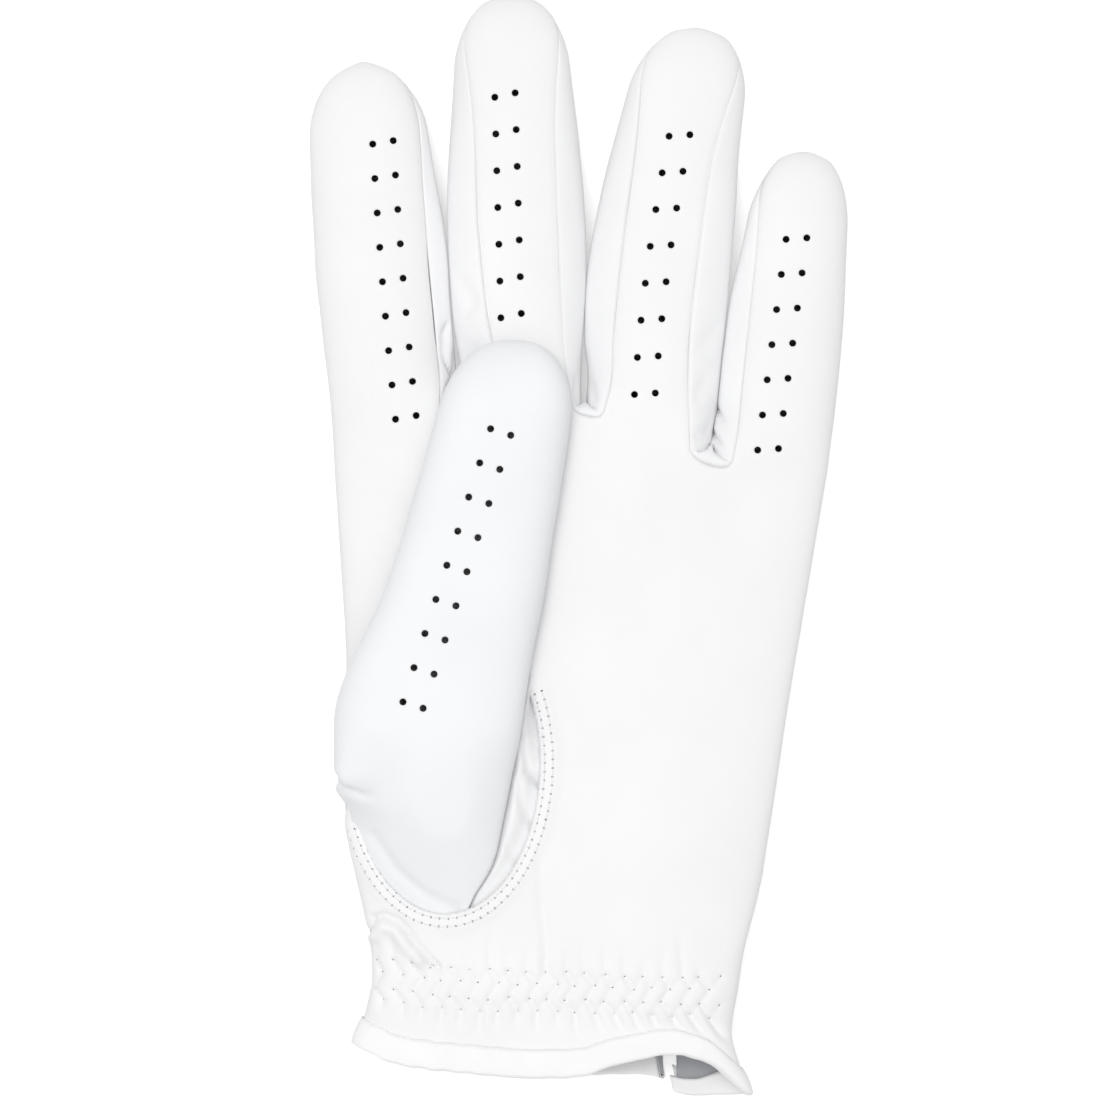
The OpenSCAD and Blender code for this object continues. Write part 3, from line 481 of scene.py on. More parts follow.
def nearest(grid, x, y):
    """Row and column of the grid point nearest a plan place."""
    away = np.hypot(grid[..., 0] - x, grid[..., 1] - y)
    return np.unravel_index(np.argmin(away), away.shape)


def grid_quads(keep, flip=False):
    index = np.arange((keep.shape[0] + 1) * (keep.shape[1] + 1)).reshape(keep.shape[0] + 1, -1)
    quads = np.stack([index[:-1, :-1], index[:-1, 1:], index[1:, 1:], index[1:, :-1]], -1)[keep]
    return quads[:, ::-1] if flip else quads


def ring_quads(rings, sides):
    """Quads round a tube of rings of points."""
    index = np.arange(rings * sides).reshape(rings, sides)
    after = np.roll(index, -1, axis=1)
    return np.stack([index[:-1], index[1:], after[1:], after[:-1]], -1).reshape(-1, 4)


def mesh_normals(points, quads):
    corner = [points[quads[:, k]] for k in range(4)]
    face = np.cross(corner[2] - corner[0], corner[3] - corner[1])
    total = np.zeros_like(points)
    for k in range(4):
        np.add.at(total, quads[:, k], face)
    return unit(total)


def raised(grid, quads, height):
    """The grid with each point moved out along its normal."""
    points = grid.reshape(-1, 3)
    return (points + mesh_normals(points, quads) * np.reshape(height, (-1, 1))).reshape(grid.shape)


def rim_edges(quads, count):
    """Directed edges that only one quad has."""
    edges = np.concatenate([quads[:, [k, (k + 1) % 4]] for k in range(4)])
    forward = edges[:, 0] * count + edges[:, 1]
    backward = edges[:, 1] * count + edges[:, 0]
    return edges[~np.isin(forward, backward)]


def skived(to_tip):
    """Leather thickness, pared down where two panels meet at a tip."""
    return LEATHER * mix(SKIVED_SHARE, 1, smooth(to_tip / SKIVE))


def thicken(points, quads, thickness):
    """A closed sheet: the points are its outer face, with one thickness or one for each first point."""
    count = len(points)
    depth = np.full(count, LEATHER)
    depth[:np.size(thickness) if np.ndim(thickness) else count] = thickness
    inner = points - mesh_normals(points, quads) * depth[:, None]
    rim = rim_edges(quads, count)
    walls = np.column_stack([rim[:, 1], rim[:, 0], rim[:, 0] + count, rim[:, 1] + count])
    faces = np.vstack([quads, quads[:, ::-1] + count, walls])
    return np.vstack([points, inner]), faces, np.repeat((0.0, 1.0), count)


# Rings of a hole's edge: share of its radius, and depth
HOLE_EDGE = ((1.06, 0.05), (1.0, 0.22))


def square_ring(reach):
    """Steps to the grid points round a square of cells, in order."""
    run = range(-reach, reach)
    return ([(-reach, k) for k in run] + [(k, reach) for k in run]
            + [(reach, -k) for k in run] + [(-k, -reach) for k in run])


def perforate(grid, keep, cuts):
    """Points and quads of a grid with round holes that have a lip.

    Each cut is its plan places, the radius, the reach in cells and the lip's share of the radius.
    """
    rows, cols = grid.shape[:2]
    count = rows * cols
    points, quads = [grid.reshape(-1, 3)], []
    for spots, radius, reach, lip in cuts:
        ring = square_ring(reach)
        for x, y in spots:
            j, i = nearest(grid, x, y)
            square = np.s_[j - reach:j + reach, i - reach:i + reach]
            whole = reach <= j < rows - reach and reach <= i < cols - reach
            if not whole or not keep[square].all():
                continue
            keep[square] = False
            e1 = unit(grid[j, i + 1] - grid[j, i - 1])
            e2 = grid[j + 1, i] - grid[j - 1, i]
            e2 = unit(e2 - e1 * (e1 @ e2))
            n = np.cross(e1, e2)
            step = np.array([x - grid[j, i, 0], y - grid[j, i, 1], 0])
            middle = grid[j, i] + e1 * (step @ e1) + e2 * (step @ e2)
            out = np.array([grid[j + dj, i + di] for dj, di in ring]) - middle
            angle = np.arctan2(out @ e2, out @ e1)
            spokes = np.cos(angle)[:, None] * e1 + np.sin(angle)[:, None] * e2
            before = np.array([(j + dj) * cols + i + di for dj, di in ring])
            for share, sink in ((1 + lip, 0.0), *HOLE_EDGE):
                points.append(middle + spokes * radius * share - n * sink)
                now = np.arange(count, count + len(ring))
                quads.append(np.stack([before, np.roll(before, -1), np.roll(now, -1), now], -1))
                before = now
                count += len(ring)
    return np.vstack(points), np.vstack([grid_quads(keep), *quads])


def add_piece(name, points, quads, inside, material, slot, nodes=None, body="glove", blend=None):
    """Make a mesh piece in the row frame for its nodes, or for the node of its name.

    Points that no quad uses are left out, and inside is 1 on a sheet's inner face.
    """
    used, corners = np.unique(quads, return_inverse=True)
    mesh = bpy.data.meshes.new(name)
    mesh.from_pydata(((points[used] + SHIFT) * MM).tolist(), [], corners.reshape(quads.shape).tolist())
    mesh.polygons.foreach_set("use_smooth", [True] * len(mesh.polygons))
    mesh.attributes.new("inside", "FLOAT", "POINT").data.foreach_set("value", inside[used])
    mesh.materials.append(material)
    piece = bpy.data.objects.new(name, mesh)
    bpy.context.scene.collection.objects.link(piece)
    if blend:
        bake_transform(piece)
    else:
        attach(piece, body)
    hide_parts(*(nodes or [name]))


def add_sheet(name, grid, quads, thickness, *look, **riding):
    """Make a closed sheet whose outer face is the grid."""
    add_piece(name, *thicken(grid.reshape(-1, 3), quads, thickness), *look, **riding)


# A direction that no thread runs along
SKEW = np.array([0.31, 0.17, 0.94])


def tube(path, radius, sides=6):
    """Points and quads of an open round tube along a path; radius may vary along it."""
    path = np.asarray(path, float)
    along = unit(np.gradient(path, axis=0))
    aside = unit(np.cross(along, SKEW))
    up = np.cross(aside, along)
    angle = np.linspace(0, 2 * np.pi, sides, endpoint=False)
    radius = np.broadcast_to(radius, (len(path),))
    rings = path[:, None] + radius[:, None, None] * (
        np.cos(angle)[None, :, None] * aside[:, None] + np.sin(angle)[None, :, None] * up[:, None])
    return rings.reshape(-1, 3), ring_quads(len(path), sides)


STITCH_SUNK = 0.3
STITCH_ROUND = 0.6
STITCH_SWELL = np.array([0.5, 0.75, 0.8, 0.8, 0.8, 0.75, 0.5])


def thread_between(a, b, n, rise):
    """A stitch from needle hole a to needle hole b, lying on a surface with outward direction n."""
    share = np.linspace(0, 1, len(STITCH_SWELL))
    lift = (rise + STITCH_SUNK) * np.sin(np.pi * share) ** STITCH_ROUND - STITCH_SUNK
    path = mix(a, b, share[:, None]) + n * lift[:, None]
    return tube(path, THREAD / 2 * STITCH_SWELL)


def crease(x, y, path, width, depth, fade=0.0):
    """Depth of a valley along a path, fading over its last share."""
    best = np.zeros(np.shape(x))
    path = np.asarray(path, float)
    lengths = distances(path)
    for k in range(len(path) - 1):
        a, d = path[k], path[k + 1] - path[k]
        share = np.clip(((x - a[0]) * d[0] + (y - a[1]) * d[1]) / (d @ d), 0, 1)
        away = np.hypot(x - a[0] - share * d[0], y - a[1] - share * d[1])
        gone = (lengths[k] + share * (lengths[k + 1] - lengths[k])) / lengths[-1]
        weight = 1 - smooth((gone - 1 + fade) / fade) if fade else 1.0
        best = np.maximum(best, weight * depth * np.exp(-(away / width) ** 2))
    return best


# Materials: the mix node's colour sockets are found by number
COLOUR_FACTOR, COLOUR_A, COLOUR_B, COLOUR_RESULT = 0, 6, 7, 2
RAMP_STOPS = (0.3, 0.7)
RIB_CYCLE = 3.14


def add_node(owner, kind, **settings):
    """A new node of a material or the world; an underscore in the name of an input stands for a space."""
    made = owner.node_tree.nodes.new("ShaderNode" + kind)
    for key, value in settings.items():
        if key.replace("_", " ") in made.inputs:
            made.inputs[key.replace("_", " ")].default_value = value
        else:
            setattr(made, key, value)
    return made


def link(owner, source, target):
    owner.node_tree.links.new(source, target)


def shader(name, colour, roughness):
    """A new material, its shader, and the place on the object."""
    material = bpy.data.materials.new(name)
    material.use_nodes = True
    bsdf = material.node_tree.nodes["Principled BSDF"]
    bsdf.inputs["Base Color"].default_value = (*colour, 1)
    bsdf.inputs["Roughness"].default_value = roughness
    return material, bsdf, add_node(material, "TexCoord").outputs["Object"]


def texture(material, kind, place, **settings):
    made = add_node(material, kind, **settings)
    link(material, place, made.inputs["Vector"])
    return made


def vary_colour(material, bsdf, source, dark, light):
    ramp = add_node(material, "ValToRGB")
    for stop, position, colour in zip(ramp.color_ramp.elements, RAMP_STOPS, (dark, light)):
        stop.position = position
        stop.color = (*colour, 1)
    link(material, source, ramp.inputs["Fac"])
    link(material, ramp.outputs["Color"], bsdf.inputs["Base Color"])


def vary_roughness(material, bsdf, source, low, high):
    span = add_node(material, "MapRange", To_Min=low, To_Max=high)
    link(material, source, span.inputs["Value"])
    link(material, span.outputs["Result"], bsdf.inputs["Roughness"])


def add_bump(material, bsdf, source, strength, distance):
    bump = add_node(material, "Bump", Strength=strength, Distance=distance)
    link(material, source, bump.inputs["Height"])
    earlier = bsdf.inputs["Normal"].links
    if earlier:
        link(material, earlier[0].from_socket, bump.inputs["Normal"])
    link(material, bump.outputs["Normal"], bsdf.inputs["Normal"])


def flesh_tone_and_shade(material, bsdf, colour):
    """Colour of the inner face: the suede's own greyer tone, and where the colour given is dark grey, painted
    shade standing in for the glove's dim inside.
    """
    side = add_node(material, "Attribute", attribute_name="inside")
    mixer = add_node(material, "Mix", data_type="RGBA")
    mixer.inputs[COLOUR_B].default_value = (*colour, 1)
    link(material, side.outputs["Fac"], mixer.inputs[COLOUR_FACTOR])
    link(material, bsdf.inputs["Base Color"].links[0].from_socket, mixer.inputs[COLOUR_A])
    link(material, mixer.outputs[COLOUR_RESULT], bsdf.inputs["Base Color"])


def leather(name, dark, light, flesh_and_shade):
    """Soft white sheepskin: cloudy colour, fine pores, faint stretch wrinkles, and an inner-face colour that
    carries painted shade on the palm and back panels.
    """
    material, bsdf, place = shader(name, light, roughness=0.55)
    bsdf.inputs["Specular IOR Level"].default_value = 0.3
    cloud = texture(material, "TexNoise", place, Scale=45, Detail=4.0)
    vary_colour(material, bsdf, cloud.outputs["Fac"], dark, light)
    flesh_tone_and_shade(material, bsdf, flesh_and_shade)
    pores = texture(material, "TexVoronoi", place, Scale=1900)
    vary_roughness(material, bsdf, pores.outputs["Distance"], low=0.48, high=0.64)
    add_bump(material, bsdf, pores.outputs["Distance"], strength=0.16, distance=0.00012)
    wrinkle = texture(material, "TexNoise", place, Scale=420, Detail=3.0, Distortion=0.6)
    add_bump(material, bsdf, wrinkle.outputs["Fac"], strength=0.1, distance=0.0003)
    return material


def woven(name, dark, light, pitch, roughness):
    """Woven tape: ribs across both ways, and a faint change of colour."""
    material, bsdf, place = shader(name, light, roughness)
    cloud = texture(material, "TexNoise", place, Scale=160, Detail=3.0)
    vary_colour(material, bsdf, cloud.outputs["Fac"], dark, light)
    ribs_scale = 1 / (pitch * MM) / RIB_CYCLE
    for axis in ("X", "Y"):
        ribs = texture(material, "TexWave", place, Scale=ribs_scale, bands_direction=axis, Distortion=0.4)
        add_bump(material, bsdf, ribs.outputs["Fac"], strength=0.2, distance=0.00015)
    return material


def pile(name, dark, light, scale):
    """Matted fibres."""
    material, bsdf, place = shader(name, light, roughness=0.9)
    fibre = texture(material, "TexNoise", place, Scale=scale, Detail=6.0, Distortion=1.5)
    vary_colour(material, bsdf, fibre.outputs["Fac"], dark, light)
    add_bump(material, bsdf, fibre.outputs["Fac"], strength=0.6, distance=0.0004)
    return material


# Inner-face colours: the dark grey one is painted shade for the dim inside of the palm and back panels; the
# pale one is the flesh side's own greyer tone.
PAINTED_SHADE_SUEDE, PALE_SUEDE = (0.4, 0.41, 0.43), (0.78, 0.78, 0.79)
palm_leather = leather("palm_leather", (0.895, 0.895, 0.9), (0.925, 0.925, 0.93), PAINTED_SHADE_SUEDE)
back_leather = leather("back_leather", (0.885, 0.885, 0.89), (0.92, 0.92, 0.925), PAINTED_SHADE_SUEDE)
thumb_leather = leather("thumb_leather", (0.89, 0.9, 0.915), (0.92, 0.928, 0.94), PALE_SUEDE)
gusset_leather = leather("gusset_leather", (0.89, 0.892, 0.9), (0.92, 0.922, 0.93), PALE_SUEDE)
tab_leather = leather("tab_leather", (0.89, 0.89, 0.895), (0.925, 0.925, 0.93), PALE_SUEDE)
binding_cloth = woven("binding_cloth", (0.945, 0.945, 0.945), (0.97, 0.97, 0.97), pitch=0.45, roughness=0.75)
elastic_cloth = woven("elastic_cloth", (0.86, 0.86, 0.87), (0.92, 0.92, 0.92), pitch=0.8, roughness=0.7)
lining_cloth = woven("lining_cloth", (0.82, 0.83, 0.84), (0.88, 0.88, 0.89), pitch=0.5, roughness=0.8)
loop_fibre = pile("loop_fibre", (0.68, 0.69, 0.7), (0.82, 0.82, 0.83), scale=1500)
hook_nylon = pile("hook_nylon", (0.7, 0.71, 0.72), (0.82, 0.82, 0.83), scale=900)
thread_cotton = woven("thread_cotton", (0.84, 0.85, 0.87), (0.92, 0.92, 0.93), pitch=0.3, roughness=0.7)

# Columns across the hand: finger, kind and place
EDGE, STRIP, FORK = 0, 1, 2
FORK_STATIONS = 13
FORK_NEAR = 0.95
EDGE_END = 0.78
FORK_ENDS = {(f + step, 1.0 - step) for f in range(LITTLE) for step in (0, 1)}


def hand_columns(strip_cells, edge_cells):
    power = FINGER_SQUARE[PALM]
    start = np.arcsin(EDGE_END ** (power / 2))
    shares = np.sin(np.linspace(np.pi / 2, start, edge_cells, endpoint=False)) ** (2 / power)
    k = np.linspace(0, 1, strip_cells + 1)
    strip = mix(k, 0.5 - 0.5 * np.cos(np.pi * k), 0.5)
    columns = [(INDEX, EDGE, -s) for s in shares]
    for f in range(4):
        columns += [(f, STRIP, q) for q in strip]
        if f < LITTLE:
            columns += [(f, FORK, c) for c in np.linspace(0, 1, FORK_STATIONS)[1:-1]]
    return columns + [(LITTLE, EDGE, s) for s in shares[::-1]]


def strip_ends(f, v):
    left = -EDGE_END if f == INDEX else -seam_share(f, v, -1)
    right = EDGE_END if f == LITTLE else seam_share(f, v, 1)
    return left, right


def column_share(column, v):
    f, kind, value = column
    if kind == EDGE:
        return np.full(np.shape(v), value)
    left, right = strip_ends(f, v)
    return mix(left, right, value)


def fork_u(f, share):
    """Place across the hand within the fork after finger f."""
    return mix(column_u((f, STRIP, 1.0)), column_u((f + 1, STRIP, 0.0)), share)


def column_u(column):
    f, kind, value = column
    if kind == FORK:
        return fork_u(f, value)
    return base_u(f) + float(column_share(column, np.zeros(1))[0]) * base_half(f) / KNUCKLE_WIDTH


def hand_grid(side, columns, palm_rows, straight_rows, tip_rows):
    """Points over palm and fingers, the kept cells, each point's distance from a seam, and its thickness."""
    us = np.array([column_u(c) for c in columns])
    kinds = np.array([c[1] for c in columns])
    palm = palm_point(us[None, :], palm_rows[:, None], side)
    fork = np.array([arch(2 * c[2] - 1, 2.0) if c[1] == FORK else 0.0 for c in columns])
    palm[..., 1] -= FORK_DIP * fork[None, :] * ease(palm_rows[:, None], *FORK_DIPS)
    palm_seam = np.minimum(us, 1 - us)[None, :] * 2 * palm_half(palm_rows)[:, None]
    ends = np.array([c[1] == FORK or (c[1] == STRIP and (c[0], c[2]) in FORK_ENDS) for c in columns])
    near = palm_rows > FORK_NEAR
    away = palm[near][:, :, None, :2] - palm[-1][None, None, ends, :2]
    palm_seam[near] = np.minimum(palm_seam[near], np.linalg.norm(away, axis=-1).min(-1))
    straight = np.linspace(0, 1, straight_rows + 1)[1:]
    bend = np.sin(np.linspace(0, np.pi / 2, tip_rows + 1)[1:])
    count = straight_rows + tip_rows
    fingers = np.repeat(palm[-1:], count, axis=0)
    finger_seam = np.full((count, len(columns)), FAR)
    for i, column in enumerate(columns):
        f = column[0]
        if column[1] == FORK:
            continue
        v = np.concatenate([straight * tip_start(f), mix(tip_start(f), 1, bend)])
        share = column_share(column, v)
        fingers[:, i] = finger_point(f, share, v, side)
        left, right = strip_ends(f, v)
        half = finger_half(f, v)
        to_left = (share - (-1 if f == INDEX else left)) * half
        to_right = ((1 if f == LITTLE else right) - share) * half
        to_tip = (1 - v) * FINGER_LENGTH[f]
        finger_seam[:, i] = np.minimum(np.minimum(np.abs(to_left), np.abs(to_right)), to_tip)
    whole = np.ones((len(palm_rows) - 1, len(columns) - 1), bool)
    split = np.repeat(((kinds[:-1] != FORK) & (kinds[1:] != FORK))[None], count, axis=0)
    to_tip = np.concatenate([np.full(len(palm_rows) + straight_rows, TIP_ROUND), TIP_ROUND * (1 - bend)])
    thickness = np.repeat(skived(to_tip), len(columns))
    seam = np.vstack([palm_seam, finger_seam]).reshape(-1)
    return np.vstack([palm, fingers]), np.vstack([whole, split]), seam, thickness


def row_places(steps):
    """Places from 0 to 1 along the palm: steps are (up to mm, spacing mm)."""
    places, now = [0.0], 0.0
    for until, step in steps:
        while now + step <= until:
            now += step
            places.append(now)
    return np.array(places) / places[-1]


# Relief of the leather: a fold is its path, width and depth, and the share of it that fades out
ZIGZAG_STEP = 2.1
ZIGZAG_HALF = 1.3
ZIGZAG_FROM, ZIGZAG_TO = -45.0, 31.0
SWAY_ACROSS, SWAY_ALONG = 0.45, 0.4
SWAY_STEP_ACROSS, SWAY_STEP_ALONG = 3.7, 3.1
UPPER_ROW = [(-46, 21.4), (-40, 21), (-30, 19.8), (0, 18.6), (12, 18), (32, 17.6)]
LOWER_ROW = [(-46, 15.4), (-40, 15), (-30, 13.3), (0, 12.8), (12, 12.4), (32, 11.4)]
GATHER_Y = 16
GATHER_TO = 46
GATHER_SWELL, GATHER_REACH = 0.75, 7.5
GATHER_STARTS, GATHER_ENDS = (ZIGZAG_FROM - 4, 5), (ZIGZAG_TO + 2, 6)
SEWN_WIDTH, SEWN_DEPTHS, SEWN_CHANGE = 0.7, (0.85, 0.4), (0.6, 1.1)
CROSS_WIDTH, CROSS_DEPTH = 0.75, (0.35, 0.8)
RUN_WIDTH = 0.9
VALLEY_SHARE = (0.6, 1.0)
DOWN_SLANT, DOWN_SLANT_MORE, DOWN_SLANTS = 0.4, 5.5, (-12, 36)
DOWN_LENGTH, DOWN_LONGER, DOWN_GROWS = (3, 6.5), 3, (-8, 24)
DOWN_DEPTHS, DOWN_FADE, DOWN_BOW = (0.8, 1.3), 0.8, -0.5
UP_LENGTH, UP_SLANT, UP_DEPTH, UP_FADE = (3, 15), (-1, 0.6), (0.25, 0.6), 0.9
PALM_LUMPS = ((0.35, 26, 3), (0.12, 9, 4))
PALM_VALLEYS = [
    ([(-7.6, 17.5), (-7.0, 24), (-7.9, 32), (-8.6, 42), (-8.6, 52)], 1.3, 0.5, 0.5),
    ([(-46.5, 28.5), (-45.3, 32), (-43, 32.6), (-39.5, 31.2), (-37.4, 28.5), (-34, 24.2), (-31, 21.2)],
     0.62, 1.5)]
PALM_RIDGES = [([(-44.6, 28), (-43, 30), (-40.6, 29.2), (-38.4, 26.4), (-35.4, 22.8)], 1.5, 1.5),
               ([(-37, 31.5), (-33.5, 27)], 1.8, 0.3)]
PALM_DENT = ([(-50, 56.5), (-49.8, 60)], 2.2, 2.0)


def zigzag(row):
    """Needle holes of one zigzag, alternately high and low."""
    k = np.arange(int((ZIGZAG_TO - ZIGZAG_FROM) / ZIGZAG_STEP) + 1)
    level = 0 * k + row[0][1]
    x = ZIGZAG_FROM + k * ZIGZAG_STEP + SWAY_ACROSS * wander(k * SWAY_STEP_ACROSS, level, size=2.3, seed=9)
    y = curve(row, x) + ZIGZAG_HALF * np.where(k % 2 == 0, 1, -1)
    return np.stack([x, y + SWAY_ALONG * wander(k * SWAY_STEP_ALONG, level, size=2.1, seed=10)], -1)


def smocking(x, y):
    """Height of the gathered wrist: puffs between the sewn zigzags, folds running out of them."""
    rng = np.random.default_rng(7)
    upper, lower = zigzag(UPPER_ROW), zigzag(LOWER_ROW)
    valley = np.zeros(np.shape(x))

    def sink(*fold):
        np.maximum(valley, crease(x, y, *fold), out=valley)

    for k in range(len(upper) - 1):
        strong = SEWN_DEPTHS[k % 2] * rng.uniform(*SEWN_CHANGE)
        for row in (upper, lower):
            sink(row[k:k + 2], SEWN_WIDTH, strong)
        if k % 2 == 1:
            sink([upper[k], lower[k - 1]], CROSS_WIDTH, rng.uniform(*CROSS_DEPTH))
            slant = DOWN_SLANT + DOWN_SLANT_MORE * ease(lower[k, 0], *DOWN_SLANTS)
            right = ease(lower[k, 0], *DOWN_GROWS)
            run = rng.uniform(*DOWN_LENGTH) + DOWN_LONGER * right
            end = lower[k] + np.array([slant, -run])
            bow = (lower[k] + end) / 2 + np.array([DOWN_BOW, 0.0])
            sink([lower[k], bow, end], RUN_WIDTH, mix(*DOWN_DEPTHS, right), DOWN_FADE)
        else:
            run = rng.uniform(*UP_LENGTH)
            end = upper[k] + np.array([rng.uniform(*UP_SLANT), run])
            sink([upper[k], end], RUN_WIDTH, rng.uniform(*UP_DEPTH), UP_FADE)
    near = ease(x, *GATHER_STARTS) * (1 - ease(x, *GATHER_ENDS))
    band = np.exp(-(((y - GATHER_Y) / GATHER_REACH) ** 2))
    share = mix(*VALLEY_SHARE, 0.5 + 0.5 * wander(x, y, size=12, seed=8))
    return near * (GATHER_SWELL * band - share * valley)


def palm_relief(x, y):
    """Height of the palm leather over its smooth form."""
    height = lumps(x, y, PALM_LUMPS) + smocking(x, y) * (y < GATHER_TO)
    for fold in PALM_VALLEYS:
        height = height - crease(x, y, *fold)
    for fold in PALM_RIDGES:
        height = height + crease(x, y, *fold)
    return height


def seam_roll(distance, depth, width):
    """Drop of the leather's edge into a seam."""
    return -depth * np.maximum(0, 1 - distance / width) ** 2


# Palm panel
HOLE_REACH, HOLE_LIP = 3, 0.45
NEEDLE_REACH, NEEDLE_LIP = 1, 0.4
SEAM_NEEDLE, ZIGZAG_NEEDLE = 0.24, 0.19
SEAM_ROWS = (1.1, 2.9)
SEAM_ANGLES = np.radians((-158, 26))
SEAM_SAMPLES = 400
RELIEF_STARTS = (BINDING_WIDTH - 1, 3)
RIM_SWELL, RIM_SWELL_AT, RIM_SWELL_REACH = 0.35, 2.6, 3.2


def seam_places(grow):
    """Needle holes of one row of the thumb's seam."""
    path = hole_rim(np.linspace(*SEAM_ANGLES, SEAM_SAMPLES), grow)
    gone = distances(path)
    marks = np.arange(0, gone[-1], STITCH_PITCH)
    return np.stack([np.interp(marks, gone, path[:, 0]), np.interp(marks, gone, path[:, 1])], -1)


palm_columns = hand_columns(strip_cells=36, edge_cells=11)
palm_rows = row_places([(94, 0.5), (PALM_LENGTH, 0.85)])
grid, keep, seam, thickness = hand_grid(PALM, palm_columns, palm_rows, straight_rows=100, tip_rows=22)
x, y = grid[..., 0].reshape(-1), grid[..., 1].reshape(-1)
from_rim = rim_distance(x, y)
over_hem = (grid[..., 1] - hem_y(np.array([column_u(c) for c in palm_columns]), PALM)[None]).reshape(-1)
height = palm_relief(x, y) * ease(over_hem, *RELIEF_STARTS)
height += seam_roll(seam, depth=0.25, width=1.3)
height += seam_roll(np.maximum(0, from_rim), depth=0.5, width=1.0)
height += RIM_SWELL * smooth(1 - np.abs(from_rim - RIM_SWELL_AT) / RIM_SWELL_REACH)
height -= crease(x, y, *PALM_DENT)
height *= thickness / LEATHER
inside = rim_share(grid[..., 0], grid[..., 1]) < 1
grid = raised(grid, grid_quads(keep), height)
corners_inside = inside[:-1, :-1].astype(int) + inside[1:, :-1] + inside[:-1, 1:] + inside[1:, 1:]
on_palm = np.arange(keep.shape[0])[:, None] < len(palm_rows) - 1
thumb_hole = (corners_inside >= 2) & on_palm
keep &= ~thumb_hole
snap = cell_corners(thumb_hole) & cell_corners(keep & on_palm)
angle = np.arctan2((grid[..., 1] - RIM_Y) / RIM_HALF_LENGTH, (grid[..., 0] - RIM_X) / RIM_HALF_WIDTH)
grid[snap, :2] = hole_rim(angle[snap], 0)

finger_holes = []
for f in range(4):
    pair = np.array([np.cos(HOLE_TURN[f]), np.sin(HOLE_TURN[f])])
    for k in range(HOLE_ROWS[f]):
        middle = finger_line(f, 1 - (HOLE_FIRST[f] + k * HOLE_PITCH[f]) / FINGER_LENGTH[f])
        middle = middle + finger_across(f) * (HOLE_SHIFT[f] + k * HOLE_DRIFT[f])
        finger_holes += [middle + pair * side * HOLE_PAIR for side in (-0.5, 0.5)]
seam_rows = [seam_places(grow) for grow in SEAM_ROWS]
zigzag_rows = [zigzag(row) for row in (UPPER_ROW, LOWER_ROW)]
points, quads = perforate(grid, keep, [(finger_holes, HOLE_RADIUS, HOLE_REACH, HOLE_LIP),
                                       (np.vstack(seam_rows), SEAM_NEEDLE, NEEDLE_REACH, NEEDLE_LIP),
                                       (np.vstack(zigzag_rows), ZIGZAG_NEEDLE, NEEDLE_REACH, NEEDLE_LIP)])
add_sheet("palm", points, quads, thickness, palm_leather, "palm_leather", nodes=["palm_panel"])
palm_surface = grid

# Back panel, with the vent slit
BACK_GATHER, BACK_GATHER_PITCH, BACK_GATHER_REACH, BACK_GATHER_ENDS = 0.3, 4.2, 6, (6, 8)
BACK_HIGHEST = 0.05
BACK_LUMPS = ((0.15, 22, 11),)
back_rows = row_places([(60, 0.8), (PALM_LENGTH, 1.4)])
back_columns = hand_columns(strip_cells=20, edge_cells=9)
grid, keep, seam, thickness = hand_grid(BACK, back_columns, back_rows, straight_rows=60, tip_rows=18)
x, y = grid[..., 0].reshape(-1), grid[..., 1].reshape(-1)
gathered = np.exp(-(((y - GATHER_Y) / BACK_GATHER_REACH) ** 2)) * (1 - ease(x, *BACK_GATHER_ENDS))
height = lumps(x, y, BACK_LUMPS)
height += BACK_GATHER * gathered * np.sin(2 * np.pi * x / BACK_GATHER_PITCH)
height += seam_roll(seam, depth=0.55, width=1.3)
height = np.minimum(height, BACK_HIGHEST) * thickness / LEATHER
grid = raised(grid, grid_quads(keep, flip=True), height)
vent_top = VENT_LENGTH + float(hem_y(u_of(VENT_X, 0.0), BACK))
middle = (grid[:-1, :-1] + grid[1:, :-1] + grid[:-1, 1:] + grid[1:, 1:]) / 4
slit = (np.abs(middle[..., 0] - VENT_X) < VENT_WIDTH / 2) & (middle[..., 1] < vent_top)
keep &= ~slit
for j, i in zip(*np.nonzero(slit)):
    for dj, di, side in ((0, 0, -1), (1, 0, -1), (0, 1, 1), (1, 1, 1)):
        if not slit[j, i + side]:
            grid[j + dj, i + di, 0] = VENT_X + side * VENT_WIDTH / 2
quads = grid_quads(keep, flip=True)
add_sheet("back", grid, quads, thickness, back_leather, "back_leather", nodes=["back_panel"])

# Fourchettes: a strip runs down the side of one finger, through the fork and up the next
WALL_COLUMNS, WALL_ROWS, WALL_TIP_ROWS = 25, 76, 16
WALL_LUMP = 0.2
WALL_TIP = 0.83
WALL_RIM_MOST = 0.995
FORK_RUN = 4
FORK_ROUND = 0.7
CRUMPLE_REACH = 12
SEAM_HOLDS = (0, 1.8)
TIP_SUNK = -0.35
FORK_TUCK = 0.25


def wall_share(f, hand, v, phi):
    square = np.where(phi <= 0.5, FINGER_SQUARE[PALM], FINGER_SQUARE[BACK])
    rim = np.minimum(WALL_RIM_MOST, seam_share(f, v, hand) + GUSSET_GAP / finger_half(f, v))
    start = np.arcsin(rim ** (square / 2))
    return np.sin(mix(start, np.pi / 2, 1 - np.abs(2 * phi - 1))) ** (2 / square)


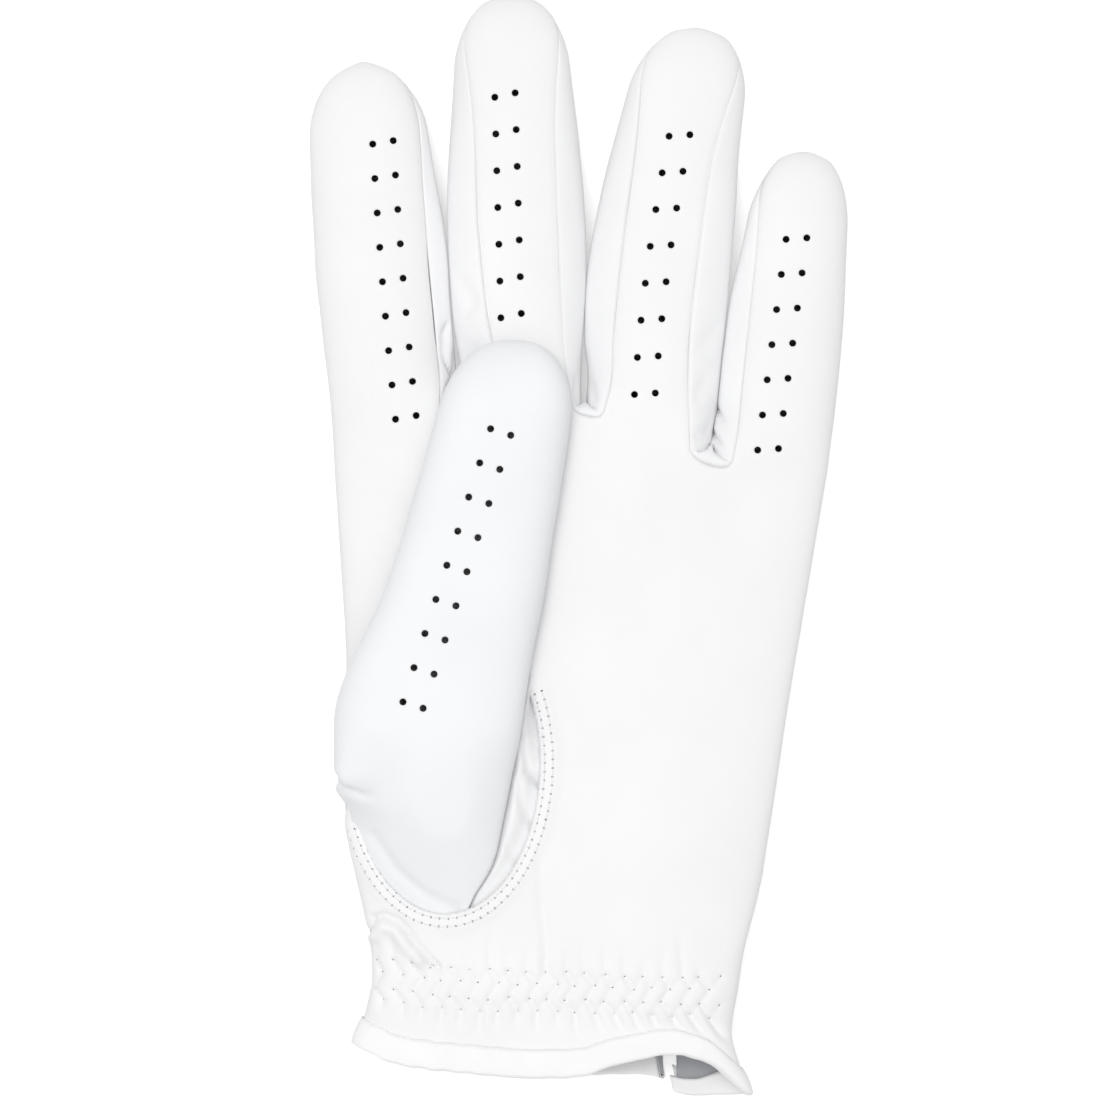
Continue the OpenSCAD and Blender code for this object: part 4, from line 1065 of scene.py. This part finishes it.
def wall_point(f, hand, v, phi):
    """Point of a finger's side wall; phi runs from 0 at the palm's seam to 1 at the back's."""
    v, phi = np.broadcast_arrays(np.asarray(v, float), np.asarray(phi, float))
    share = hand * wall_share(f, hand, v, phi)
    wall = np.where((phi <= 0.5)[..., None], finger_point(f, share, v, PALM), finger_point(f, share, v, BACK))
    if (f, hand) in PUFF:
        puff = curve(zip(PUFF_AT, PUFF[f, hand]), v) * np.sin(np.pi * phi)
        wall = wall + np.append(finger_across(f), 0) * hand * puff[..., None]
    u = base_u(f) + share * base_half(f) / KNUCKLE_WIDTH
    top, low = palm_point(u, 1.0, PALM)[..., 2], palm_point(u, 1.0, BACK)[..., 2]
    upright = mix(low, top, (1 + np.cos(np.pi * phi)) / 2) - np.where(phi <= 0.5, top, low)
    wall[..., 2] += (1 - ease(v, *BASE_BLENDS)) * upright
    return wall


def fourchette(name, k, crumple, folds):
    """folds: creases as (distance from the fork, distance from the palm's seam) pairs, width and depth."""
    phi = np.linspace(1, 0, WALL_COLUMNS)
    straight = np.linspace(0, 1, WALL_ROWS)[1:]
    tip = np.linspace(0, WALL_TIP, WALL_TIP_ROWS)[1:]

    def places(f):
        return np.concatenate([straight * tip_start(f), mix(tip_start(f), 1, tip)])

    first, second = places(k)[::-1], places(k + 1)
    a = wall_point(k, 1, first[:, None], phi[None])
    b = wall_point(k + 1, -1, second[:, None], phi[None])
    low_a, low_b = wall_point(k, 1, 0.0, phi), wall_point(k + 1, -1, 0.0, phi)
    c = np.linspace(0, 1, FORK_STATIONS)
    bulge = GUSSET_GAP - FORK_DIP + FORK_BULGE[k] * np.sin(np.pi * phi) ** FORK_ROUND
    dip = np.stack([0 * phi, bulge, 0 * phi], -1)
    fork = mix(low_a, low_b, c[:, None, None]) + arch(2 * c - 1, 2.0)[:, None, None] * dip
    chord = mix(knuckle_y(fork_u(k, 0.0)), knuckle_y(fork_u(k, 1.0)), c)
    fork[..., 1] += (knuckle_y(fork_u(k, c)) - chord)[:, None]
    grid = np.concatenate([a, fork, b])
    along = np.concatenate([-FORK_RUN - first * FINGER_LENGTH[k],
                            np.linspace(-FORK_RUN, FORK_RUN, FORK_STATIONS),
                            FORK_RUN + second * FINGER_LENGTH[k + 1]])
    along, across = np.broadcast_arrays(along[:, None], phi[None] * GUSSET_WIDTH)
    crumpled = crumple * (1 - smooth(np.abs(along) / CRUMPLE_REACH))
    height = lumps(along, across, [(WALL_LUMP, 9, 40 + k), (crumpled, 3.2, 45 + k)])
    for path, width, depth in folds:
        height = height - crease(along, across, path, width, depth, fade=0.5)
    from_seam = np.minimum(across, GUSSET_WIDTH - across)
    height = height * ease(from_seam, *SEAM_HOLDS) + seam_roll(from_seam, depth=0.2, width=1.0)
    ending = np.concatenate([tip_share(k, first), np.zeros(FORK_STATIONS), tip_share(k + 1, second)])
    height = mix(height, TIP_SUNK, smooth(ending / WALL_TIP)[:, None])
    quads = grid_quads(all_cells(grid))
    grid = raised(grid, quads, height)
    edges = np.exp(-across ** 2) - np.exp(-(GUSSET_WIDTH - across) ** 2)
    grid[..., 2] -= FORK_TUCK * (1 - smooth(np.abs(along) / FORK_RUN)) * edges
    add_sheet(name, grid, quads, LEATHER, gusset_leather, "gusset_leather")


fourchette("fourchette_index_middle", 0, crumple=0.4, folds=[
    ([(-7, 1), (-13, 5), (-20, 6)], 1.1, 1.0), ([(7, 2), (14, 4), (21, 3)], 1.0, 0.8),
    ([(-18, 1), (-26, 4)], 1.2, 0.6), ([(26, 1), (34, 4)], 1.2, 0.6),
    ([(-13, 3.4), (-16.5, 1.8), (-19, 0.6)], 0.55, 1.1), ([(-24, 3.8), (-21, 1.2)], 0.6, 1.0),
    ([(13, 3.6), (17, 2.2), (19, 0.8)], 0.6, 1.0), ([(24, 3.2), (28, 1)], 0.6, 0.8)])
fourchette("fourchette_middle_ring", 1, crumple=0.1, folds=[
    ([(-6, 2), (-12, 4)], 1.0, 0.5), ([(6, 3), (13, 5)], 1.0, 0.5)])
fourchette("fourchette_ring_little", 2, crumple=0.2, folds=[
    ([(-1.5, 5), (-2.5, 3), (-5, 1.5)], 0.6, 0.6), ([(3, 5), (2, 3), (1, 1.6)], 0.6, 0.6),
    ([(10, 6.5), (8.4, 4), (6.6, 1.8)], 0.6, 1.2), ([(15.5, 6.5), (13.6, 4), (12, 2)], 0.6, 1.0),
    ([(-7, 0.8), (-8.5, 3.6), (-12, 5.5)], 0.8, 0.8),
    ([(-14, 1), (-20, 4)], 1.1, 0.7), ([(-24, 2), (-32, 5)], 1.2, 0.4)])

# Thumb: front over the palm, back against it, both sewn along the side
SKIRT = 6
SKIRT_LEAST = 0.02
TUCK = 1.6
EDGE_TUCKED, ROOT_TUCKED = (0.7, 0.3), (0, 0.03)
EDGE_RISES_ACROSS, EDGE_RISES = (-1, 0.9), (0.13, 0.11)
ROOT_RISE, ROOT_SLOPE, ROOT_LIFTS = 19, 1.6, (0.15, 0.18)
THUMB_EDGE_HALF = 17
THUMB_COLUMNS, THUMB_ROWS, THUMB_TIP_ROWS = 101, 190, 22
THUMB_LUMPS = ((0.4, 30, 21), (0.1, 10, 22))
THUMB_BACK_LUMPS = ((0.15, 18, 31),)
THUMB_FOLDS = [([(-54, 63), (-52.5, 60.5), (-47, 58.8), (-43, 59.6)], 0.9, 0.9, 0.5),
               ([(-45.5, 50), (-44, 48), (-40.5, 42.6), (-34, 37), (-26.7, 33.6)], 1.3, 0.55),
               ([(-41, 86), (-38, 80), (-33, 78)], 2.2, 0.35, 0.5)]
BEND_START, BEND_END = (-37.7, 44.3, 0), (-19.3, 64, 0)
THUMB_BACK_FROM = 0.22
THUMB_BACK_SUNK = 0.15
THUMB_BACK_PULL, PULL_ACROSS, PULL_ALONG = 1.5, (0.5, 0.5), (THUMB_BACK_FROM, 0.1)

thumb_s = np.sin(np.linspace(-np.pi / 2, np.pi / 2, THUMB_COLUMNS))
tip_bend = np.sin(np.linspace(0, np.pi / 2, THUMB_TIP_ROWS)[1:])
thumb_q = np.concatenate([np.linspace(0, 1 - THUMB_TIP_ROUND, THUMB_ROWS),
                          1 - THUMB_TIP_ROUND + THUMB_TIP_ROUND * tip_bend])
s, q = thumb_s[None], thumb_q[:, None]
grid = thumb_point(s, q, PALM)
grid[..., 0] -= TUCK * ease(-s, *EDGE_TUCKED) * (1 - ease(q, *FOLD_STARTS))
grid[..., 1] -= TUCK * (1 - ease(q, *ROOT_TUCKED))
under = over(grid[..., 0], grid[..., 1], PALM)[..., 2] - INSIDE_LEATHER
edge_rise = (1 - ease(s, *EDGE_RISES_ACROSS)) * ease(q, *EDGE_RISES)
inside = np.clip((TUCK - rim_distance(grid[..., 0], grid[..., 1])) / ROOT_RISE, 0, 1)
sunk = (1 - inside) ** ROOT_SLOPE * (1 - edge_rise) * (1 - ease(q, *ROOT_LIFTS))
grid[..., 2] = mix(grid[..., 2], under, sunk)
skirt = np.repeat(grid[:, :1], SKIRT, axis=1)
skirt[..., 2] -= (fold_down(q) + SKIRT_LEAST) * np.linspace(1, 0, SKIRT, endpoint=False)[None]
grid = np.concatenate([skirt, grid], axis=1)
keep = all_cells(grid)
folded = fold_down(thumb_q) > SKIRT_LEAST
keep[:, :SKIRT] &= (folded[:-1] & folded[1:])[:, None]
x, y = grid[..., 0], grid[..., 1]
height = lumps(x, y, THUMB_LUMPS)
for fold in THUMB_FOLDS:
    height = height - crease(x, y, *fold)
grid = raised(grid, grid_quads(keep), height)
right_edge = np.concatenate([np.full(SKIRT, FAR), (1 - thumb_s) * THUMB_EDGE_HALF])[None]
grid[..., 2] += seam_roll(right_edge, depth=0.3, width=0.8)
thumb_edge_z = grid[:, -1, 2]
thumb_way = np.array([-np.sin(THUMB_HOLE_LEAN), -np.cos(THUMB_HOLE_LEAN)])
thumb_across = np.array([np.cos(THUMB_HOLE_LEAN), -np.sin(THUMB_HOLE_LEAN)])
first = np.array([float(ball_mid(1.0)) - THUMB_HOLE_SHIFT, thumb_y(1) - THUMB_HOLE_TIP])
thumb_holes = [first + thumb_way * THUMB_HOLE_PITCH * k + thumb_across * side * HOLE_PAIR
               for k in range(THUMB_HOLE_ROWS) for side in (-0.5, 0.5)]
points, quads = perforate(grid, keep, [(thumb_holes, HOLE_RADIUS, HOLE_REACH, HOLE_LIP)])
thumb_bend = ("glove", "thumb", row_place(*BEND_START), row_place(*BEND_END))
thickness = np.repeat(skived((1 - thumb_q) * THUMB_LENGTH), grid.shape[1])
add_sheet("thumb_front", points, quads, thickness, thumb_leather, "thumb_leather", blend=thumb_bend)

back_q = thumb_q[thumb_q >= THUMB_BACK_FROM]
s, q = thumb_s[None, ::2], back_q[:, None]
grid = thumb_point(s, q, BACK)
grid[..., 0] += THUMB_BACK_PULL * ease(-s, *PULL_ACROSS) * (1 - ease(q, *PULL_ALONG))
quads = grid_quads(all_cells(grid), flip=True)
grid = raised(grid, quads, lumps(grid[..., 0], grid[..., 1], THUMB_BACK_LUMPS) - THUMB_BACK_SUNK)
thickness = np.repeat(skived((1 - back_q) * THUMB_LENGTH), grid.shape[1])
add_sheet("thumb_back", grid, quads, thickness, thumb_leather, "thumb_leather", blend=thumb_bend)

# Gusset under the thumb, sewn under the rim of the thumb hole
GUSSET_SINK, GUSSET_LIFT, GUSSET_LIFTS = 0.35, 0.75, (TUCK + 0.6, 2.5)
UNDER_THUMB, UNDER_THUMB_STARTS, UNDER_THUMB_ENDS = 2.4, (0.9, 2.5), (60, 10)
CRESCENT_SHARE, CRESCENT_GROWS, CRESCENT_STARTS = (0.1, 0.85), (0.03, 0.15), (-1.2, 1.2)
CRESCENT_CLEAR, CRESCENT_CLIMB = 0.15, 0.8
GUSSET_COLUMNS, GUSSET_ROWS = 81, 111
GUSSET_FOLDS = [([(-12.7, 71.3), (-11.3, 64), (-8, 60.7)], 0.9, 0.9),
                ([(-13.5, 62), (-12.5, 56), (-10, 52)], 1.0, 0.6),
                ([(-17, 50), (-15, 46), (-13.5, 44)], 1.0, 0.4)]

a, b = np.meshgrid(np.linspace(-1, 1, GUSSET_COLUMNS), np.linspace(-1, 1, GUSSET_ROWS))
round_a, round_b = a * np.sqrt(1 - b ** 2 / 2), b * np.sqrt(1 - a ** 2 / 2)
x = RIM_X + (RIM_HALF_WIDTH + TUCK) * round_a
y = RIM_Y + (RIM_HALF_LENGTH + TUCK) * round_b
q = np.clip((y - THUMB_START) / THUMB_LENGTH, 0, 1)
past = x - thumb_right(q)
from_edge = (1 - np.hypot(round_a, round_b)) * RIM_HALF_WIDTH
sink = LEATHER + GUSSET_SINK - GUSSET_LIFT * ease(from_edge, *GUSSET_LIFTS)
for fold in GUSSET_FOLDS:
    sink = sink + crease(x, y, *fold)
crescent = ease(past, *CRESCENT_STARTS) * (1 - smooth(past / np.maximum(1, past - rim_distance(x, y))))
climb = mix(*CRESCENT_SHARE, ease(q, *CRESCENT_GROWS)) * (THUMB_CLEAR + THUMB_SEAM_SHARE * thumb_section(q))
sink = sink - climb * crescent
sink = sink + UNDER_THUMB * ease(-past, *UNDER_THUMB_STARTS) * (1 - ease(y, *UNDER_THUMB_ENDS))
below_edge = np.interp(q, thumb_q, thumb_edge_z) - LEATHER - CRESCENT_CLEAR
below_edge += CRESCENT_CLIMB * np.maximum(0, past)
grid = over(x, y, PALM)
grid[..., 2] = np.minimum(grid[..., 2] - sink, below_edge)
add_sheet("thumb_gusset", grid, grid_quads(all_cells(grid)), LEATHER, gusset_leather, "gusset_leather")

# Cuff: binding folded over the edge, from one side of the vent round the palm to the other
TAPE_EDGE = np.array([0.15, 0.55, 0.85, 1, 1, 1])
TAPE_EDGE_INNER = 0.3
FOLD_OUTER, FOLD_INNER = 0.8, 0.6
NARROWED, NARROWS_OVER = 0.45, 0.12
WOBBLE_APART = 40
WOBBLE_FINE, WOBBLE_LONG = ((0.18, 2.6, 51),), ((0.25, 9, 52),)
TURN_POINTS = 9
ELASTIC_COLUMNS, ELASTIC_ROWS = 160, 9
ELASTIC_FROM = 0.06


def edge_run(start, end, count):
    """Places across the hand, closer together towards its sides."""
    low, high = np.arcsin(np.clip(2 * start - 1, -1, 1)), np.arcsin(np.clip(2 * end - 1, -1, 1))
    return 0.5 + 0.5 * np.sin(np.linspace(low, high, count))


def binding_profile():
    """Section of the folded tape: height over the leather's edge, depth in it, and 1 on the inner leg."""
    outer, inner, middle = FOLD_ROOM + BINDING_TAPE, FOLD_ROOM, LEATHER / 2
    heights = np.linspace(BINDING_WIDTH, 0, len(TAPE_EDGE))

    def turn(reach, flatness, way):
        return [(-reach * np.sin(a) * flatness, middle + way * reach * np.cos(a), 0)
                for a in np.linspace(0, np.pi, TURN_POINTS)[1:-1]]

    return ([(h, -r, 0) for h, r in zip(heights, mix(inner, outer, TAPE_EDGE))]
            + turn(middle + outer, FOLD_OUTER, -1)
            + [(h, LEATHER + outer, 1) for h in heights[::-1]]
            + [(h, LEATHER + inner, 1) for h in heights]
            + turn(middle + inner, FOLD_INNER, 1)
            + [(h, -TAPE_EDGE_INNER * inner, 0) for h in heights[::-1]])


vent_left_u = float(u_of(VENT_X - VENT_WIDTH / 2, 0.0))
vent_right_u = float(u_of(VENT_X + VENT_WIDTH / 2, 0.0))
runs = [(edge_run(vent_left_u, 0.0, 90)[:-1], BACK, 0.0),
        (edge_run(0.0, 1.0, 260), PALM, 0.0),
        (edge_run(1.0, vent_right_u, 50)[1:], BACK, NARROWED)]
sections = []
for us, side, narrowed in runs:
    wobble = lumps(us * CUFF_WIDTH, 0 * us + side * WOBBLE_APART, WOBBLE_FINE)
    wobble = wobble + lumps(us * CUFF_WIDTH, 0 * us, WOBBLE_LONG)
    cut = narrowed * smooth((1 - us) / NARROWS_OVER)
    section = [palm_point(us, (h * (1 - cut * leg) + wobble) / PALM_LENGTH, side, inset)
               for h, inset, leg in binding_profile()]
    sections.append(np.stack(section, 1))
grid = np.concatenate(sections)
count = grid.shape[1]
cap = np.array([[k, k + 1, count - 2 - k, count - 1 - k] for k in range(count // 2 - 1)])
quads = np.vstack([ring_quads(len(grid), count)[:, ::-1], cap, cap[:, ::-1] + (len(grid) - 1) * count])
points = grid.reshape(-1, 3)
add_piece("hem_binding", points, quads, np.zeros(len(points)), binding_cloth, "binding_tape")


def elastic(name, middle, side, end):
    us = np.linspace(ELASTIC_FROM, end, ELASTIC_COLUMNS)
    y = middle + ELASTIC_WIDTH * np.linspace(-0.5, 0.5, ELASTIC_ROWS)[:, None]
    grid = palm_point(us[None], t_of(y, us[None], side), side, INSIDE_LEATHER)
    quads = grid_quads(all_cells(grid), flip=side == BACK)
    add_sheet(name, grid, quads, ELASTIC_THICK, elastic_cloth, "elastic")


elastic("palm_elastic_lower", ELASTIC_UP, PALM, end=0.94)
elastic("palm_elastic_upper", ELASTIC_UP + ELASTIC_PITCH, PALM, end=0.94)
elastic("back_elastic", ELASTIC_UP + ELASTIC_PITCH / 2, BACK, end=0.62)

# Facing inside the back, round the vent
FACING_COLUMNS, FACING_ROWS = 7, 40
facing_low = float(hem_y(vent_left_u, BACK)) + BINDING_WIDTH + 1
xs = np.concatenate([VENT_X - VENT_WIDTH / 2 - np.linspace(FACING_WIDTH, 0, FACING_COLUMNS),
                     VENT_X + VENT_WIDTH / 2 + np.linspace(0, FACING_WIDTH, FACING_COLUMNS)])
ys = np.concatenate([np.linspace(facing_low, vent_top, FACING_ROWS),
                     vent_top + np.linspace(0, FACING_WIDTH, 6)[1:]])
grid = over(xs[None], ys[:, None], BACK, INSIDE_LEATHER)
keep = all_cells(grid)
keep[:FACING_ROWS - 1, FACING_COLUMNS - 1] = False
add_sheet("vent_facing", grid, grid_quads(keep, flip=True), BINDING_TAPE, binding_cloth, "binding_tape")

# Closure tab: one leather strip from its sewn base over the hinge line to its rounded end
TAB_CLIMBS = (TAB_X - 2.2, 4.0)
TAB_ROLL, TAB_ROLL_WIDTH = 0.22, 1.4
TAB_LIFT = 0.05
TAB_LUMPS = ((0.05, 8, 61),)
TAB_END_ROWS, TAB_ROWS, TAB_HINGE_ROWS, TAB_COLUMNS = 24, 70, 24, 49
PILE_SIZE = 0.7
TAB_BEND = 1.8


def tab_inset(x, start, radius):
    """How far a rounded end pulls in at x."""
    into = np.clip(radius - (x - start), 0, radius)
    return radius - np.sqrt(radius ** 2 - into ** 2)


xs = np.concatenate([TAB_START + TAB_END_ROUND * (1 - np.cos(np.linspace(0, np.pi / 2, TAB_END_ROWS))),
                     np.linspace(TAB_START + TAB_END_ROUND, TAB_FREE_END, TAB_ROWS)[1:],
                     np.linspace(TAB_FREE_END, TAB_X + TAB_BASE, TAB_HINGE_ROWS)[1:]])[:, None]
share = np.linspace(-1, 1, TAB_COLUMNS)[None]
half = TAB_WIDTH / 2 - tab_inset(xs, TAB_START, TAB_END_ROUND)
ys = TAB_UP + TAB_WIDTH / 2 + half * share
xs = np.broadcast_to(xs, ys.shape)
rolled = -seam_roll((1 - np.abs(share)) * half, TAB_ROLL, TAB_ROLL_WIDTH)
zs = LOOP_Z * ease(xs, *TAB_CLIMBS) + rolled + TAB_LIFT + lumps(xs, ys, TAB_LUMPS)
grid = np.stack([xs, ys, zs], -1)
tab_bend = ("glove", "tab", row_place(TAB_X + TAB_BEND, 0, 0), row_place(TAB_X - TAB_BEND, 0, 0))
add_sheet("closure_tab", grid, grid_quads(all_cells(grid)), LEATHER, tab_leather, "tab_leather",
          nodes=["closure_tab", "tab_base"], blend=tab_bend)

LINING_INSET, HOOK_INSET, LOOP_INSET = 0.8, 3, 1
LINING_CORNER = 8
hook_start = TAB_START + HOOK_FROM_END
loop_start = VENT_X - VENT_WIDTH / 2 - FACING_WIDTH - LOOP_LENGTH


def patch(name, material, slot, left, right, inset, corner, z, cells, relief, seed, thickness,
          body="tab", flip=False):
    """A patch with round corners within the tab's width, its rough outer face at z."""
    a, b = np.meshgrid(np.linspace(0, 1, cells[0]), np.linspace(0, 1, cells[1]))
    x = mix(left, right, a)
    pull = inset + np.maximum(tab_inset(x, left, corner), tab_inset(left + right - x, left, corner))
    y = mix(TAB_UP + pull, TAB_UP + TAB_WIDTH - pull, b)
    grid = np.stack([x, y, z + relief * wander(x, y, PILE_SIZE, seed)], -1)
    add_sheet(name, grid, grid_quads(all_cells(grid), flip), thickness, material, slot, body=body)


patch("tab_lining", lining_cloth, "lining", TAB_START + LINING_INSET, TAB_FREE_END, LINING_INSET,
      LINING_CORNER, z=LEATHER + LINING, cells=(90, 50), relief=0.03, seed=71, thickness=LINING - 0.05)
patch("hook_patch", hook_nylon, "hook_strip", hook_start, hook_start + HOOK_LENGTH, HOOK_INSET, PATCH_CORNER,
      z=HOOK_TOP - 0.25, cells=(120, 80), relief=0.1, seed=72, thickness=HOOK - 0.35)
patch("loop_patch", loop_fibre, "loop_pile", loop_start, loop_start + LOOP_LENGTH, LOOP_INSET, PATCH_CORNER,
      z=LOOP_Z + 0.1, cells=(150, 100), relief=0.1, seed=73, thickness=LOOP - 0.1, body="glove", flip=True)

# Stitches
TAB_ROW = 1.6
LOOP_ROW = 0.8
TAB_STITCH_Z = 0.25
STITCH_RISE = 0.1
ZIGZAG_RISE = -0.05
DOWN = np.array([0, 0, -1.0])


def add_thread(name, stitches, body="glove"):
    """Make one piece of many stitches, each its points and quads."""
    starts = np.cumsum([0] + [len(p) for p, _ in stitches])
    points = np.vstack([p for p, _ in stitches])
    quads = np.vstack([q + start for (_, q), start in zip(stitches, starts)])
    add_piece(name, points, quads, np.zeros(len(points)), thread_cotton, "thread", body=body)


def on_palm_surface(place):
    """A plan place, at the height of the palm's finished surface."""
    return np.array([*place, palm_surface[nearest(palm_surface, *place)][2]])


def palm_stitches(name, places, rise):
    stitches = []
    for a, b in zip(places[:-1], places[1:]):
        n = outward(np.array((a[0] + b[0]) / 2), np.array((a[1] + b[1]) / 2), PALM)
        stitches.append(thread_between(on_palm_surface(a), on_palm_surface(b), n, rise))
    add_thread(name, stitches)


def border_stitches(name, left, right, inset, corner, right_corner, columns, z, body):
    """Straight rows along a patch's long edges and its upright columns, short of the corners."""
    bottom, top = TAB_UP + inset, TAB_UP + TAB_WIDTH - inset
    rows = [((left + corner, y, z), (right - right_corner, y, z)) for y in (bottom, top)]
    rows += [((x, bottom + corner, z), (x, top - corner, z)) for x in columns]
    stitches = []
    for a, b in np.array(rows):
        count = int(np.hypot(b[0] - a[0], b[1] - a[1]) / STITCH_PITCH)
        marks = mix(a, b, np.linspace(0, 1, count + 1)[:, None])
        stitches += [thread_between(p, r, DOWN, STITCH_RISE) for p, r in zip(marks[:-1], marks[1:])]
    add_thread(name, stitches, body)


palm_stitches("thumb_seam_stitches_inner", seam_rows[0], rise=0.0)
palm_stitches("thumb_seam_stitches_outer", seam_rows[1], rise=0.0)
palm_stitches("elastic_stitches_upper", zigzag_rows[0], ZIGZAG_RISE)
palm_stitches("elastic_stitches_lower", zigzag_rows[1], ZIGZAG_RISE)
left, right = TAB_START + TAB_ROW, TAB_FREE_END
border_stitches("tab_stitches", left, right, TAB_ROW, TAB_END_ROUND, 0, [left], TAB_STITCH_Z, "tab")
left, right = loop_start + LOOP_ROW, loop_start + LOOP_LENGTH - LOOP_ROW
border_stitches("loop_patch_stitches", left, right, LOOP_INSET + LOOP_ROW, PATCH_CORNER, PATCH_CORNER,
                [left, right], LOOP_Z, "glove")

# Floor: white to the camera, with the glove's shadow
FLOOR_REACH, FLOOR_DROP, FLOOR_GLOW = 3.0, 0.0003, 0.5
CORNERS = ((-1, -1), (1, -1), (1, 1), (-1, 1))
floor_mesh = bpy.data.meshes.new("floor")
floor_mesh.from_pydata([(a * FLOOR_REACH, b * FLOOR_REACH, 0) for a, b in CORNERS], [], [(0, 1, 2, 3)])
floor = bpy.data.objects.new("floor", floor_mesh)
floor.location.z = -FLOOR_DROP
bpy.context.scene.collection.objects.link(floor)
floor_paint, paint, _ = shader("floor_paint", (0.8, 0.8, 0.8), roughness=0.9)
paint.inputs["Specular IOR Level"].default_value = 0.0
paint.inputs["Emission Color"].default_value = (1, 1, 1, 1)
rays = add_node(floor_paint, "LightPath")
seen = add_node(floor_paint, "Math", operation="MAXIMUM")
glow = add_node(floor_paint, "Math", operation="MULTIPLY")
glow.inputs[1].default_value = FLOOR_GLOW
link(floor_paint, rays.outputs["Is Camera Ray"], seen.inputs[0])
link(floor_paint, rays.outputs["Is Glossy Ray"], seen.inputs[1])
link(floor_paint, seen.outputs[0], glow.inputs[0])
link(floor_paint, glow.outputs[0], paint.inputs["Emission Strength"])
floor_mesh.materials.append(floor_paint)

# Light: a white room, brighter overhead, and a soft key from the upper left
HORIZON, OVERHEAD = 0.3, 1.0
KEY_PLACE, KEY_SIZE, KEY_WATTS = Vector((-0.7, 0.7, 3.6)), 1.4, 38.5
world = bpy.data.worlds.new("room")
bpy.context.scene.world = world
world.use_nodes = True
sky = world.node_tree.nodes["Background"]
sky.inputs["Color"].default_value = (1, 1, 1, 1)
up = add_node(world, "SeparateXYZ")
level = add_node(world, "MapRange", To_Min=HORIZON, To_Max=OVERHEAD)
backdrop = add_node(world, "Mix", B=1.0)
link(world, add_node(world, "TexCoord").outputs["Generated"], up.inputs["Vector"])
link(world, up.outputs["Z"], level.inputs["Value"])
link(world, level.outputs["Result"], backdrop.inputs["A"])
link(world, add_node(world, "LightPath").outputs["Is Camera Ray"], backdrop.inputs["Factor"])
link(world, backdrop.outputs["Result"], sky.inputs["Strength"])
key_data = bpy.data.lights.new("key", "AREA")
key_data.size = KEY_SIZE
key_data.energy = KEY_WATTS
key = bpy.data.objects.new("key", key_data)
key.location = KEY_PLACE
key.rotation_euler = (-KEY_PLACE).to_track_quat("-Z", "Y").to_euler()
bpy.context.scene.collection.objects.link(key)

# Camera straight above, at the photograph's frame
FRAME = 0.2464
DISTANCE = 1.55
SENSOR = 36
CAMERA_X, CAMERA_Y, FRAME_Z = -0.00416, -0.00286, 0.012
camera_data = bpy.data.cameras.new("camera")
camera_data.sensor_width = SENSOR
camera_data.lens = SENSOR * DISTANCE / FRAME
camera = bpy.data.objects.new("camera", camera_data)
camera.location = (CAMERA_X, CAMERA_Y, DISTANCE + FRAME_Z)
bpy.context.scene.collection.objects.link(camera)
bpy.context.scene.camera = camera
bpy.context.scene.view_settings.view_transform = "Standard"
